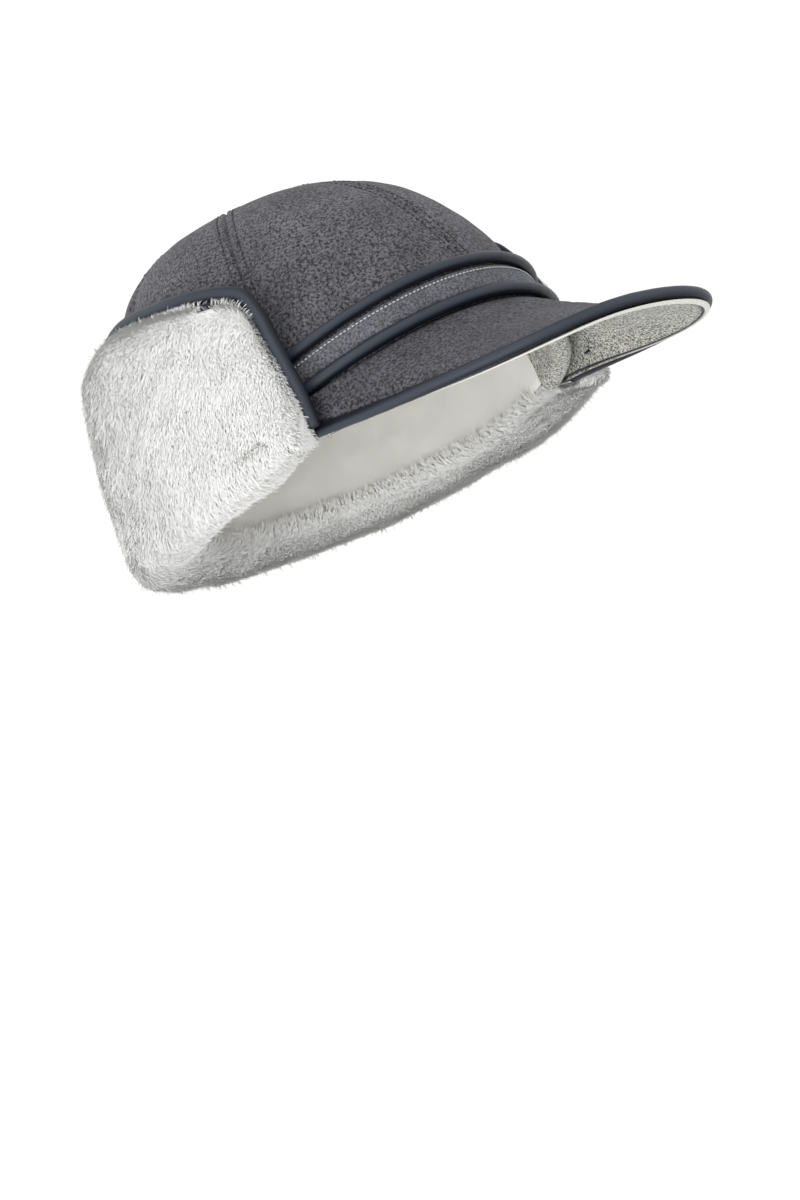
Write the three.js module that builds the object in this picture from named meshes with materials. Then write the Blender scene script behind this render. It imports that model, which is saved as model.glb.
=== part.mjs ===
// Shearling peaked cap with its ear and neck flap turned up.
// Millimetres. The origin is the middle of the head opening. Front is -Y, the wearer's
// right is -X and up is +Z. Angles go round the head from the front towards the right.
import * as THREE from 'three';

// Driving dimensions of the crown
const crownHalfLength = 109;
const crownHalfWidth = 90.8;
const crownHeight = 124.4;
const crownWall = 7; // leather with clipped wool inside
const apexSetback = 26.6; // how far the top lies behind the middle of the opening
const panelPuff = 2.2; // how far a panel swells between its seams
const puffFrom = 46; // heights between which the swelling grows
const puffFull = 68;
const puffTop = 50; // distance from the apex over which it fades
const puffMean = 0.5; // share of it that stands outside the plain crown
const puffPower = 2.5;
const rimFrontHeight = 8;
const rimBackHeight = -8;
const tipRadius = 4; // the panels run to a point inside this radius
const gap = 0.3; // between pieces that touch
const pieceLift = 1.5 * gap; // between the crown and what lies on it

// Powers of the crown's upright section: width against height
const shoulderPower = 3.3;
const topPower = 2;

// Driving dimensions of the strap across the front
const upperPipingRadius = 2.8;
const lowerPipingRadius = 3.1;
const strapThickness = 2;
const strapHalfAngle = 67;
const upperPipingFront = 44.9;
const upperPipingDrop = 25.5; // how far its plane falls from the front to the side
const lowerPipingFront = 26.9;
const lowerPipingDrop = 23.6;

// Driving dimensions of the peak
const peakHalfWidth = 78.9;
const peakReach = 133.7; // from the corners to the tip, along Y
const peakCornerSetback = 54; // how far ahead of the origin its corners lie
const peakCornerAngle = 61;
const peakArch = 10.8; // how far the middle of the edge stands above its corners
const peakFall = 14.7; // how far the tip drops below the corners' height plus the arch
const peakCornerHeight = -7.7;
const peakSag = 4.5; // how far the peak is hollowed between crown and edge
const peakPower = 3.32; // squareness of the outline
const peakFlare = 8; // how far the corners spread beyond the half width
const flarePower = 6; // how fast the spread dies out ahead of the corners
const rootFront = 1.4; // thickness of the seam against the peak's, at the front
const rootSide = 0.4; // and at the corners
const rootFade = 0.35; // share of the way to the edge over which the seam's form fades
const peakTuck = 2.2; // least drop of its seam below the middle of the lower piping
const upperThickness = 2.4;
const underThickness = 1.2;
const peakBindingRadius = 2.9;

// Driving dimensions of the flap
const flapFrontAngle = 63.7;
const flapFrontHeight = 58; // where its front edge starts to round over
const flapTopHeight = 86.5;
const flapCornerAngle = 45; // over which the top corner rounds
const cornerPower = 0.45; // squareness of that corner
const flapLeather = 2;
const woolGap = 2 * gap; // between the leather and the wool
const flapBend = 3; // inner radius where it bends up from under the rim
const flapStandFront = 14; // how far its leather stands off the crown at the front edges
const flapStandBottom = 9;
const flapStandTop = 5;
const flapWallSteps = 4; // straight steps of the flap's wall from the fold to its edge
const flapStandAngle = 40; // over which the stand changes from front to side
const foldLeast = 1.5; // least depth of the wool under the fold, which it has at the front
const foldDepthBack = 11; // how much deeper it is at the back
const foldAngle = 60; // over which the depth changes
const foldPower = 0.6;
const foldRise = 0.55; // sine of the turn over which the wool reaches its least depth
const foldInnerShare = 0.45; // share of the depth left at the head's side
const woolOuterBottom = 27.5; // outer face of the wool from the crown
const woolOuterTop = 20.5;
const woolLeast = 7; // least depth of full wool over the leather
const woolTopLeast = 2; // depth of the wool at the free edge
const woolTopRound = 12;
const woolFrontRound = 14;
const woolFrontShare = 0.3; // share of the full depth at the front edges
const flapBindingRadius = 3.5;
const cornerTrim = 2; // how far below the corner the binding starts to turn
const lockWidth = 20;
const lockLength = 22;
const lockDepth = 2.6;

// Angles of the six seams round the apex
const seamAngles = [0, 51, 117, 180, 243, 309, 360];
const panelNames = [
  'crown_front_right',
  'crown_side_right',
  'crown_back_right',
  'crown_back_left',
  'crown_side_left',
  'crown_front_left',
];

const degree = Math.PI / 180;
const { clamp, lerp, smoothstep } = THREE.MathUtils;

// Part of the base outline that is left at a height of the crown
function outlineShare(height, topHeight = crownHeight) {
  const rise = clamp(height / topHeight, 0, 1);
  return (1 - rise ** topPower) ** (1 / shoulderPower);
}

// How far the outline's middle has moved back at a height
function setback(height) {
  return apexSetback * clamp(height / crownHeight, 0, 1) ** 1.5;
}

// Point at an angle round the head, at a height, moved out level from the crown by a distance
function roundCrown(angle, height, out = 0) {
  const share = outlineShare(height);
  return new THREE.Vector3(
    -Math.sin(angle) * (crownHalfWidth * share + out),
    -Math.cos(angle) * (crownHalfLength * share + out) + setback(height),
    height,
  );
}

// Same point, moved out along the crown's own normal
function offCrown(angle, height, out) {
  const step = 0.5;
  const turn = 0.005;
  const along = roundCrown(angle, height + step).sub(roundCrown(angle, height - step));
  const around = roundCrown(angle + turn, height).sub(roundCrown(angle - turn, height));
  const normal = along.cross(around).normalize();
  const outward = new THREE.Vector3(-Math.sin(angle), -Math.cos(angle), 0);
  if (normal.dot(outward) < 0) normal.negate();
  return roundCrown(angle, height).addScaledVector(normal, out);
}

function rimHeight(frontShare) {
  return lerp(rimBackHeight, rimFrontHeight, Math.max(0, frontShare));
}

// Closed geometry from triangles: shared corners are merged and flat triangles dropped
function closedGeometry(triangles) {
  const corners = [];
  const found = new Map();
  const indexOf = (point) => {
    const key = [point.x, point.y, point.z].map((value) => Math.round(value * 1e4)).join(',');
    if (!found.has(key)) {
      found.set(key, corners.length / 3);
      corners.push(point.x, point.y, point.z);
    }
    return found.get(key);
  };
  const index = [];
  let volume = 0;
  for (const [a, b, c] of triangles) {
    const [i, j, k] = [indexOf(a), indexOf(b), indexOf(c)];
    if (i === j || j === k || k === i) continue;
    index.push(i, j, k);
    volume += a.dot(new THREE.Vector3().crossVectors(b, c));
  }
  if (volume < 0) index.reverse();
  const geometry = new THREE.BufferGeometry();
  geometry.setAttribute('position', new THREE.Float32BufferAttribute(corners, 3));
  geometry.setIndex(index);
  geometry.computeVertexNormals();
  return geometry;
}

// Solid between two faces, each a grid of points given by a function of column and row
function sheetGeometry(columns, rows, faceA, faceB) {
  const a = [];
  const b = [];
  for (let i = 0; i <= columns; i += 1) {
    a.push([]);
    b.push([]);
    for (let j = 0; j <= rows; j += 1) {
      a[i].push(faceA(i, j));
      b[i].push(faceB(i, j));
    }
  }
  const triangles = [];
  const quad = (p, q, r, s) => triangles.push([p, q, r], [p, r, s]);
  for (let i = 0; i < columns; i += 1) {
    for (let j = 0; j < rows; j += 1) {
      quad(a[i][j], a[i + 1][j], a[i + 1][j + 1], a[i][j + 1]);
      quad(b[i][j], b[i][j + 1], b[i + 1][j + 1], b[i + 1][j]);
    }
    quad(a[i + 1][0], a[i][0], b[i][0], b[i + 1][0]);
    quad(a[i][rows], a[i + 1][rows], b[i + 1][rows], b[i][rows]);
  }
  for (let j = 0; j < rows; j += 1) {
    quad(a[0][j], a[0][j + 1], b[0][j + 1], b[0][j]);
    quad(a[columns][j + 1], a[columns][j], b[columns][j], b[columns][j + 1]);
  }
  return closedGeometry(triangles);
}

// Round cord along a list of points
function cordGeometry(points, radius, steps) {
  const sides = 8;
  const section = new THREE.Shape();
  for (let side = 0; side < sides; side += 1) {
    const turn = (2 * Math.PI * (side + 0.5)) / sides;
    const [x, y] = [radius * Math.cos(turn), radius * Math.sin(turn)];
    if (side === 0) section.moveTo(x, y);
    else section.lineTo(x, y);
  }
  section.closePath();
  const extrudePath = new THREE.CatmullRomCurve3(points, false, 'centripetal');
  return new THREE.ExtrudeGeometry(section, { steps, extrudePath });
}

function addPiece(name, geometry, material) {
  const mesh = new THREE.Mesh(geometry, material);
  mesh.name = name;
  hat.add(mesh);
}

function leather(color, roughness) {
  return new THREE.MeshStandardMaterial({ color, roughness, metalness: 0 });
}

const greyLeather = leather(0x5a595f, 0.75);
const stripLeather = leather(0x63656c, 0.7);
const paleLeather = leather(0x9c9c97, 0.9);
const navyLeather = leather(0x2a2e3a, 0.35);
const wool = leather(0xdddbd4, 1);

const hat = new THREE.Group();
hat.name = 'fur_hat';

// Distance from the apex's axis to the crown's outline, along a plan direction
function reach(angle, height, inset) {
  const topHeight = crownHeight - inset;
  const share = outlineShare(height, topHeight);
  const halfWidth = crownHalfWidth - inset;
  const halfLength = crownHalfLength - inset;
  const ahead = apexSetback - apexSetback * clamp(height / topHeight, 0, 1) ** 1.5;
  const [dx, dy] = [-Math.sin(angle), -Math.cos(angle)];
  const a = (dx / halfWidth) ** 2 + (dy / halfLength) ** 2;
  const b = (2 * ahead * dy) / halfLength ** 2;
  const c = (ahead / halfLength) ** 2 - share ** 2;
  return (-b + Math.sqrt(Math.max(0, b * b - 4 * a * c))) / (2 * a);
}

// Face of a crown panel, at an inset from the outside. Its seam sides keep half a gap to
// the seam, and its last row is the point where the two seams meet.
function panelFace(from, to, columns, rows, inset) {
  const middle = (from + to) / 2;
  const halfAngle = (to - from) / 2;
  const topHeight = crownHeight - inset;
  return (i, j) => {
    const across = i / columns;
    const angle = lerp(from, to, across);
    const base = reach(angle, 0, inset);
    const frontShare = (Math.cos(angle) * base - apexSetback) / (crownHalfLength - inset);
    const rim = rimHeight(frontShare);
    const rise = Math.sin((Math.PI / 2) * (j / rows)) ** (2 / topPower);
    const height = lerp(rim, topHeight, rise);
    if (j === rows) {
      const point = gap / 2 / Math.sin(halfAngle);
      return new THREE.Vector3(
        -Math.sin(middle) * point,
        -Math.cos(middle) * point + apexSetback,
        topHeight,
      );
    }
    const outline = Math.max(tipRadius, reach(angle, height, inset));
    const swell = (puffMean - Math.abs(2 * across - 1) ** puffPower) * panelPuff;
    const fade = smoothstep(height, puffFrom, puffFull) * smoothstep(outline, 0, puffTop);
    const radius = outline + swell * fade;
    const side = (gap / 2) * (1 - 2 * across);
    return new THREE.Vector3(
      -Math.sin(angle) * radius - Math.cos(angle) * side,
      -Math.cos(angle) * radius + Math.sin(angle) * side + apexSetback,
      height,
    );
  };
}

function addCrown() {
  const columns = 7;
  const rows = 10;
  panelNames.forEach((name, panel) => {
    const from = seamAngles[panel] * degree;
    const to = seamAngles[panel + 1] * degree;
    const outside = panelFace(from, to, columns, rows, 0);
    const inside = panelFace(from, to, columns, rows, crownWall);
    addPiece(name, sheetGeometry(columns, rows, outside, inside), greyLeather);
  });
}

// Heights of the two pipings at an angle: each lies in one sloping plane
function upperPipingHeight(angle) {
  return upperPipingFront - upperPipingDrop * (1 - Math.cos(angle));
}

function lowerPipingHeight(angle) {
  return lowerPipingFront - lowerPipingDrop * (1 - Math.cos(angle));
}

function addStrap() {
  const half = strapHalfAngle * degree;
  const steps = 22;
  const angles = Array.from({ length: steps + 1 }, (_, i) => lerp(-half, half, i / steps));
  const addPiping = (name, heightAt, radius) => {
    const points = angles.map((angle) => offCrown(angle, heightAt(angle), radius + pieceLift));
    addPiece(name, cordGeometry(points, radius, steps), navyLeather);
  };
  addPiping('band_piping_upper', upperPipingHeight, upperPipingRadius);
  addPiping('band_piping_lower', lowerPipingHeight, lowerPipingRadius);
  const rows = 3;
  const face = (out) => (i, j) => {
    const angle = angles[i];
    const low = lowerPipingHeight(angle) + lowerPipingRadius + gap;
    const high = upperPipingHeight(angle) - upperPipingRadius - gap;
    return offCrown(angle, lerp(low, high, j / rows), out);
  };
  const strip = sheetGeometry(steps, rows, face(pieceLift + strapThickness), face(pieceLift));
  addPiece('band_strip', strip, stripLeather);
}

// Power that keeps its sign
function signedPower(value, power) {
  return Math.sign(value) * Math.abs(value) ** power;
}

// Free edge of the peak, with its place across from -1 at the left corner to 1 at the right
function peakEdge(across) {
  const turn = (across * Math.PI) / 2;
  const x = -peakHalfWidth * signedPower(Math.sin(turn), 2 / peakPower);
  const ahead = Math.abs(Math.cos(turn)) ** (2 / peakPower);
  const arch = peakArch * (1 - (x / peakHalfWidth) ** 2);
  const flare = Math.sign(x) * peakFlare * (1 - ahead) ** flarePower;
  return new THREE.Vector3(
    x + flare,
    -peakCornerSetback - peakReach * ahead,
    peakCornerHeight + arch - peakFall * ahead,
  );
}

const plateGap = 2 * gap; // between the two plates of the peak
const peakThickness = upperThickness + plateGap + underThickness;

// Where the peak meets the crown: its upper face, or its lower face. The seam runs close
// under the lower piping, clear of its round section.
function peakRoot(across, lower) {
  const angle = across * peakCornerAngle * degree;
  const side = across ** 4;
  const out = 2 * gap + side * (peakThickness + gap);
  const clear = lowerPipingRadius + 2 * gap;
  const inward = Math.max(0, lowerPipingRadius + pieceLift - out);
  const tuck = Math.max(peakTuck, Math.sqrt(Math.max(0, clear ** 2 - inward ** 2)));
  const top = lowerPipingHeight(angle) - tuck;
  if (lower) return roundCrown(angle, top - lerp(rootFront, rootSide, side) * peakThickness, 2 * gap);
  return roundCrown(angle, top, out);
}

// Upper face of the peak, from the crown to the edge
function peakUpper(along, across) {
  const point = peakRoot(across, false).lerp(peakEdge(across), along);
  const sag = 4 * along * (1 - along) * peakSag * (1 - across ** 2);
  point.z -= sag;
  return point;
}

// Direction from the upper face down through the peak, its full thickness long
function peakThrough(along, across) {
  const step = 0.01;
  const a0 = clamp(along, step, 1 - step);
  const c0 = clamp(across, step - 1, 1 - step);
  const forward = peakUpper(a0 + step, c0).sub(peakUpper(a0 - step, c0));
  const sideways = peakUpper(a0, c0 + step).sub(peakUpper(a0, c0 - step));
  const through = forward.cross(sideways).normalize();
  if (through.z > 0) through.negate();
  through.multiplyScalar(peakThickness);
  const root = peakRoot(across, true).sub(peakRoot(across, false));
  return root.lerp(through, smoothstep(along, 0, rootFade));
}

function peakPoint(along, across, depth) {
  const share = depth / peakThickness;
  return peakUpper(along, across).addScaledVector(peakThrough(along, across), share);
}

// Share of the way from the edge to the crown that covers a distance square to the edge
function edgeShare(across, distance) {
  const step = 0.01;
  const place = clamp(across, step - 1, 1 - step);
  const tangent = peakEdge(place + step).sub(peakEdge(place - step)).normalize();
  const line = peakEdge(across).sub(peakRoot(across, false));
  return distance / line.cross(tangent).length();
}

function addPeak() {
  const columns = 26;
  const rows = 5;
  const acrossAt = (i) => lerp(-1, 1, i / columns);
  const upperFace = (depth) => (i, j) => {
    const across = acrossAt(i);
    const room = edgeShare(across, 2 * (peakBindingRadius + 2 * gap));
    return peakPoint((j / rows) * (1 - room), across, depth);
  };
  const underFace = (depth) => (i, j) => peakPoint(j / rows, acrossAt(i), depth);
  addPiece('peak_upper', sheetGeometry(columns, rows, upperFace(0), upperFace(upperThickness)), greyLeather);
  const underTop = upperThickness + plateGap;
  const under = sheetGeometry(columns, rows, underFace(underTop), underFace(peakThickness));
  addPiece('peak_under', under, paleLeather);
  const cord = [];
  for (let i = 0; i <= columns; i += 1) {
    const across = acrossAt(i);
    const along = 1 - edgeShare(across, peakBindingRadius);
    cord.push(peakPoint(along, across, underTop - 2 * gap - peakBindingRadius));
  }
  addPiece('peak_binding', cordGeometry(cord, peakBindingRadius, 36), navyLeather);
}

// Angle from a front edge of the flap, at either side
function fromFront(angle) {
  return Math.abs(Math.atan2(Math.sin(angle), Math.cos(angle))) - flapFrontAngle * degree;
}

// Height of the flap leather's free edge
function flapEdgeHeight(angle) {
  const share = clamp(fromFront(angle) / (flapCornerAngle * degree), 0, 1);
  return lerp(flapFrontHeight, flapTopHeight, share ** cornerPower);
}

// How far the flap's leather stands off the crown
function flapStand(angle, height) {
  const side = lerp(flapStandBottom, flapStandTop, clamp(height / flapTopHeight, 0, 1));
  const share = smoothstep(fromFront(angle), 0, flapStandAngle * degree);
  return lerp(flapStandFront, side, share);
}

// Top of the fold that passes under the crown's rim
const footTop = rimBackHeight - gap;

// Point of the fold: level under the rim, then bent up to the leather's stand. The turn
// runs from 0 under the crown to 1 at the wall, and the depth is measured from its inside.
function foldPoint(angle, turn, depth) {
  const bendStart = flapStand(angle, 0) - flapBend;
  if (turn < 0.5) {
    return roundCrown(angle, footTop - depth, lerp(-flapLeather, bendStart, 2 * turn));
  }
  const bend = (turn - 0.5) * Math.PI;
  const radius = flapBend + depth;
  const height = footTop + flapBend - radius * Math.cos(bend);
  return roundCrown(angle, height, bendStart + radius * Math.sin(bend));
}

function flapAngle(share) {
  const front = flapFrontAngle * degree;
  return lerp(front, 2 * Math.PI - front, share);
}

function flapWallHeight(angle, share) {
  return lerp(footTop + flapBend, flapEdgeHeight(angle), share);
}

function addFlapLeather() {
  const columns = 44;
  const foldRows = 4;
  const rows = foldRows + flapWallSteps;
  const face = (depth) => (i, j) => {
    const angle = flapAngle(i / columns);
    if (j <= foldRows) return foldPoint(angle, j / foldRows, depth);
    const height = flapWallHeight(angle, (j - foldRows) / flapWallSteps);
    return roundCrown(angle, height, flapStand(angle, height) + depth);
  };
  addPiece('flap_leather', sheetGeometry(columns, rows, face(flapLeather), face(0)), greyLeather);
}

// Swell of the locks: rows of shingles whose tips point down, every other row shifted. The
// distance around goes from the middle of the back, so the two sides mirror each other.
function lockSwell(around, down) {
  const row = Math.floor(down / lockLength);
  const fall = down / lockLength - row;
  const shift = row % 2 === 0 ? 0 : 0.5;
  const place = around / lockWidth + shift;
  const side = Math.abs(2 * (place - Math.floor(place)) - 1);
  return lockDepth * (0.2 + 0.8 * fall) * (1 - side ** 2);
}

// The wool thins to a rounded end at the flap's front edges
function woolFullness(angle, radius) {
  const share = clamp((fromFront(angle) * radius) / woolFrontRound, 0, 1);
  return lerp(woolFrontShare, 1, Math.sqrt(1 - (1 - share) ** 2));
}

// How far the wool hangs under the rim, fuller towards the outside. The turn runs from 0 at
// the head to half a circle at the outer face.
function foldDepth(turn, fullness) {
  const rise = Math.sin(turn);
  const least = Math.min(1, rise / foldRise) * (flapLeather + woolGap + foldLeast);
  return least + fullness * rise * lerp(foldInnerShare, 1, (1 - Math.cos(turn)) / 2);
}

function woolSkinOut(angle, height) {
  return flapStand(angle, height) + flapLeather + woolGap;
}

function woolOuterOut(angle, height, fullness) {
  const skin = woolSkinOut(angle, height);
  const side = lerp(woolOuterBottom, woolOuterTop, clamp(height / flapTopHeight, 0, 1));
  return lerp(skin, Math.max(skin + woolLeast, side), fullness);
}

function addFlapWool() {
  const columns = 88;
  const foldRows = 5;
  const wallRows = 12;
  const roundRows = 3;
  const rows = foldRows + wallRows + roundRows;
  const radius = (crownHalfLength + crownHalfWidth) / 2 + woolOuterTop;
  const length = radius * (flapAngle(1) - flapAngle(0));
  const topOf = (angle) => flapEdgeHeight(angle) - 2 * gap;
  const skinFace = (i, j) => {
    const angle = flapAngle((i - (i % 2)) / columns);
    if (j === 0) return roundCrown(angle, footTop, -flapLeather - 2 * woolGap);
    if (j <= foldRows) return foldPoint(angle, (j - 1) / (foldRows - 1), flapLeather + woolGap);
    const step = Math.floor(((j - foldRows) * flapWallSteps) / (wallRows + roundRows));
    const height = Math.min(flapWallHeight(angle, step / flapWallSteps), topOf(angle));
    return roundCrown(angle, height, woolSkinOut(angle, height));
  };
  const outerFace = (i, j) => {
    const angle = flapAngle(i / columns);
    const around = Math.abs(i / columns - 0.5) * length;
    const fullness = woolFullness(angle, radius);
    const row = j - foldRows;
    if (row <= 0) {
      const turn = Math.PI * (j / foldRows);
      const outer = woolOuterOut(angle, 0, fullness);
      const half = (outer + crownWall) / 2;
      const share = clamp(fromFront(angle) / (foldAngle * degree), 0, 1) ** foldPower;
      const arc = (Math.PI - turn) * half;
      const swell = lockSwell(around, flapTopHeight - footTop + arc) * fullness;
      const depth = foldDepth(turn, share * foldDepthBack + swell);
      return roundCrown(angle, footTop - depth, outer - half * (1 + Math.cos(turn)));
    }
    const top = topOf(angle) - woolTopRound;
    if (row <= wallRows) {
      const height = lerp(footTop, top, row / wallRows);
      const swell = lockSwell(around, flapTopHeight - height) * fullness;
      return roundCrown(angle, height, woolOuterOut(angle, height, fullness) + swell);
    }
    const turn = ((row - wallRows) / roundRows) * (Math.PI / 2);
    const height = top + woolTopRound * Math.sin(turn);
    const skin = woolSkinOut(angle, height) + woolTopLeast;
    const out = lerp(skin, woolOuterOut(angle, height, fullness), Math.cos(turn));
    return roundCrown(angle, height, out);
  };
  addPiece('flap_wool', sheetGeometry(columns, rows, outerFace, skinFace), wool);
}

// Path of the binding on the wearer's right: up the front edge, then back along the top
function bindingPath() {
  const front = flapFrontAngle * degree;
  const clear = flapBindingRadius + 2 * gap;
  const ahead = clear / ((crownHalfLength + crownHalfWidth) / 2);
  const uprights = 4;
  const tops = 12;
  const path = [];
  for (let k = 0; k <= uprights; k += 1) {
    path.push([front - ahead, lerp(footTop, flapFrontHeight - cornerTrim, k / uprights)]);
  }
  for (let k = 1; k <= tops; k += 1) {
    const share = k / tops;
    const angle = lerp(front, Math.PI, share ** 2);
    path.push([angle - ahead * (1 - share) ** 2, flapEdgeHeight(angle) + clear]);
  }
  return path;
}

function addFlapBinding() {
  const right = bindingPath();
  const left = right.slice(0, -1).reverse().map(([angle, height]) => [2 * Math.PI - angle, height]);
  const points = [...right, ...left].map(([angle, height]) => (
    roundCrown(angle, height, flapStand(angle, height) + flapLeather / 2)
  ));
  addPiece('flap_binding', cordGeometry(points, flapBindingRadius, 50), navyLeather);
}

addCrown();
addStrap();
addPeak();
addFlapLeather();
addFlapWool();
addFlapBinding();

export default hat;
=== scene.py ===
"""Looks of a shearling peaked cap with its ear and neck flap turned up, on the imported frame.

Shapes are worked out in millimetres in the frame's own axes: front is -Y, the right side as
worn is -X and up is +Z. They go into the meshes in metres. Angles go round the crown from the
front towards the right. A grid of points has its columns first and its rows second.
"""

import logging
import math
from dataclasses import dataclass, field
from enum import Enum

import bpy
import numpy as np
from mathutils import Matrix

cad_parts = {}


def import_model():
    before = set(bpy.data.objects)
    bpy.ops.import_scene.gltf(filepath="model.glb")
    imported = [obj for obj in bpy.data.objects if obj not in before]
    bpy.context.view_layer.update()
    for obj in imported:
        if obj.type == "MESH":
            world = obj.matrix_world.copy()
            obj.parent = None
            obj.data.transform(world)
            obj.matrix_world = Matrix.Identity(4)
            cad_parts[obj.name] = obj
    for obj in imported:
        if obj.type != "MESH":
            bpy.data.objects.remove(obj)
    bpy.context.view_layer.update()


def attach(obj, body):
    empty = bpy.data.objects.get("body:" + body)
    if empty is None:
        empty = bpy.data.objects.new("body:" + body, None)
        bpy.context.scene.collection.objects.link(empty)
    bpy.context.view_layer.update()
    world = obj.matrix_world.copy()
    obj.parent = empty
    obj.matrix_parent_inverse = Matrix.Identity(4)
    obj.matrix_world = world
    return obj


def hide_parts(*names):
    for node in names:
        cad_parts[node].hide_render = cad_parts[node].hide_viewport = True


Array = np.ndarray
Socket = bpy.types.NodeSocket
Colour = tuple[float, float, float]

METRE = 0.001
DEGREE = math.pi / 180
TURN = 2 * math.pi
GAP = 0.3
PIECE_LIFT = 1.5 * GAP

log = logging.getLogger("fur_hat")


class Slot(Enum):
    """Material slots of the record."""

    GREY = "grey_leather"
    STRIP = "strip_leather"
    PALE = "pale_leather"
    NAVY = "navy_leather"
    WOOL = "wool"


def pile(x: Array, y: Array, z: Array) -> Array:
    """Points from three arrays that are spread to one shape."""
    return np.stack(np.broadcast_arrays(x, y, z), axis=-1)


def unit(vectors: Array) -> Array:
    """Vectors scaled to a length of 1."""
    return vectors / np.maximum(np.linalg.norm(vectors, axis=-1, keepdims=True), 1e-9)


def ease(value: Array, low: float, high: float) -> Array:
    """Smooth step from 0 at the low end to 1 at the high end."""
    share = np.clip((value - low) / (high - low), 0, 1)
    return share * share * (3 - 2 * share)


def mix(low: Array, high: Array, share: Array) -> Array:
    """Straight blend between two values."""
    return low + (high - low) * share


def bell(value: Array, width: float) -> Array:
    """Rounded bump of height 1 round zero."""
    return np.exp(-((value / width) ** 2))


def ripple(points: Array, length: float, seed: int, waves: int = 9) -> Array:
    """Smooth unevenness: a mean of sine waves in seeded directions.

    Args:
        points: places in mm, of two or three numbers each.
        length: mean length of the waves in mm.
        seed: seed of the directions and phases.
        waves: how many waves are summed.

    Returns:
        Values of about -1 to 1, one for each place.
    """
    rng = np.random.default_rng(seed)
    ways = unit(rng.normal(size=(waves, points.shape[-1])))
    ways *= TURN / length * rng.uniform(0.7, 1.4, (waves, 1))
    phases = rng.uniform(0, TURN, waves)
    total = np.zeros(points.shape[:-1])
    for way, phase in zip(ways, phases):
        total += np.sin(points @ way + phase)
    return 2 * total / waves


def grid_normals(grid: Array) -> Array:
    """Normals of a grid: columns' step crossed with rows' step."""
    return unit(np.cross(np.gradient(grid, axis=0), np.gradient(grid, axis=1)))


def outward_normals(grid: Array, centre: Array) -> Array:
    """Normals of a grid, turned away from a centre as a whole."""
    normals = grid_normals(grid)
    away = ((grid - centre) * normals).sum(-1).mean()
    return normals if away > 0 else -normals


@dataclass
class Skin:
    """A mesh in the making: points in mm, faces as index arrays, and values at the points."""

    points: Array
    faces: list[Array]
    values: dict[str, Array] = field(default_factory=dict)
    normals: Array | None = None

    def outward(self) -> "Skin":
        """Turns all faces round if the volume that they close is negative."""
        volume = 0.0
        for block in self.faces:
            corner = self.points[block[:, 0]]
            for k in range(1, block.shape[1] - 1):
                side = np.cross(self.points[block[:, k]], self.points[block[:, k + 1]])
                volume += (corner * side).sum()
        if volume < 0:
            self.faces = [block[:, ::-1] for block in self.faces]
        return self

    def marked(self, name: str, value: float) -> "Skin":
        """Gives all points one value of a name."""
        self.values[name] = np.full(len(self.points), value)
        return self


def join(skins: list[Skin]) -> Skin:
    """Several skins as one, with the values that the first one has."""
    starts = np.cumsum([0] + [len(skin.points) for skin in skins[:-1]])
    faces = [block + start for skin, start in zip(skins, starts) for block in skin.faces]
    names = skins[0].values
    values = {name: np.concatenate([skin.values[name] for skin in skins]) for name in names}
    return Skin(np.concatenate([skin.points for skin in skins]), faces, values)


def grid_faces(columns: int, rows: int, start: int = 0, closed: bool = False) -> Array:
    """Quads between the points of a grid.

    Args:
        columns: points along the first axis.
        rows: points along the second axis.
        start: index of the grid's first point.
        closed: whether the last column joins the first.

    Returns:
        Four indices for each quad.
    """
    index = start + np.arange(columns * rows).reshape(columns, rows)
    if closed:
        index = np.concatenate([index, index[:1]])
    quads = [index[:-1, :-1], index[1:, :-1], index[1:, 1:], index[:-1, 1:]]
    return np.stack(quads, -1).reshape(-1, 4)


def ring_faces(rings: int, sides: int) -> Array:
    """Quads between closed rings of points that follow each other."""
    index = np.arange(rings * sides).reshape(rings, sides)
    wrapped = np.concatenate([index, index[:, :1]], axis=1)
    quads = [wrapped[:-1, :-1], wrapped[1:, :-1], wrapped[1:, 1:], wrapped[:-1, 1:]]
    return np.stack(quads, -1).reshape(-1, 4)


def circles(sides: int, up: Array, side: Array) -> Array:
    """Points of a unit circle for each pair of an up and a side direction, from the up one."""
    turn = (np.arange(sides) * TURN / sides)[:, None]
    return np.cos(turn) * up[:, None] + np.sin(turn) * side[:, None]


def slab(outer: Array, inner: Array, values: dict[str, Array] | None = None) -> Skin:
    """Closed sheet between two grids, with a strip of quads round its border.

    Args:
        outer: grid of points of one face.
        inner: grid of points of the other face, of the same shape.
        values: values on the outer grid, which the inner face repeats.

    Returns:
        The closed skin.
    """
    columns, rows = outer.shape[:2]
    index = np.arange(columns * rows).reshape(columns, rows)
    border = np.concatenate([index[:, 0], index[-1, 1:], index[-2::-1, -1], index[0, -2:0:-1]])
    after = np.roll(border, -1)
    count = columns * rows
    faces = [
        grid_faces(columns, rows),
        grid_faces(columns, rows, count)[:, ::-1],
        np.stack([after, border, border + count, after + count], -1),
    ]
    points = np.concatenate([outer.reshape(-1, 3), inner.reshape(-1, 3)])
    doubled = {name: np.tile(value.reshape(-1), 2) for name, value in (values or {}).items()}
    return Skin(points, faces, doubled).outward()


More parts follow.
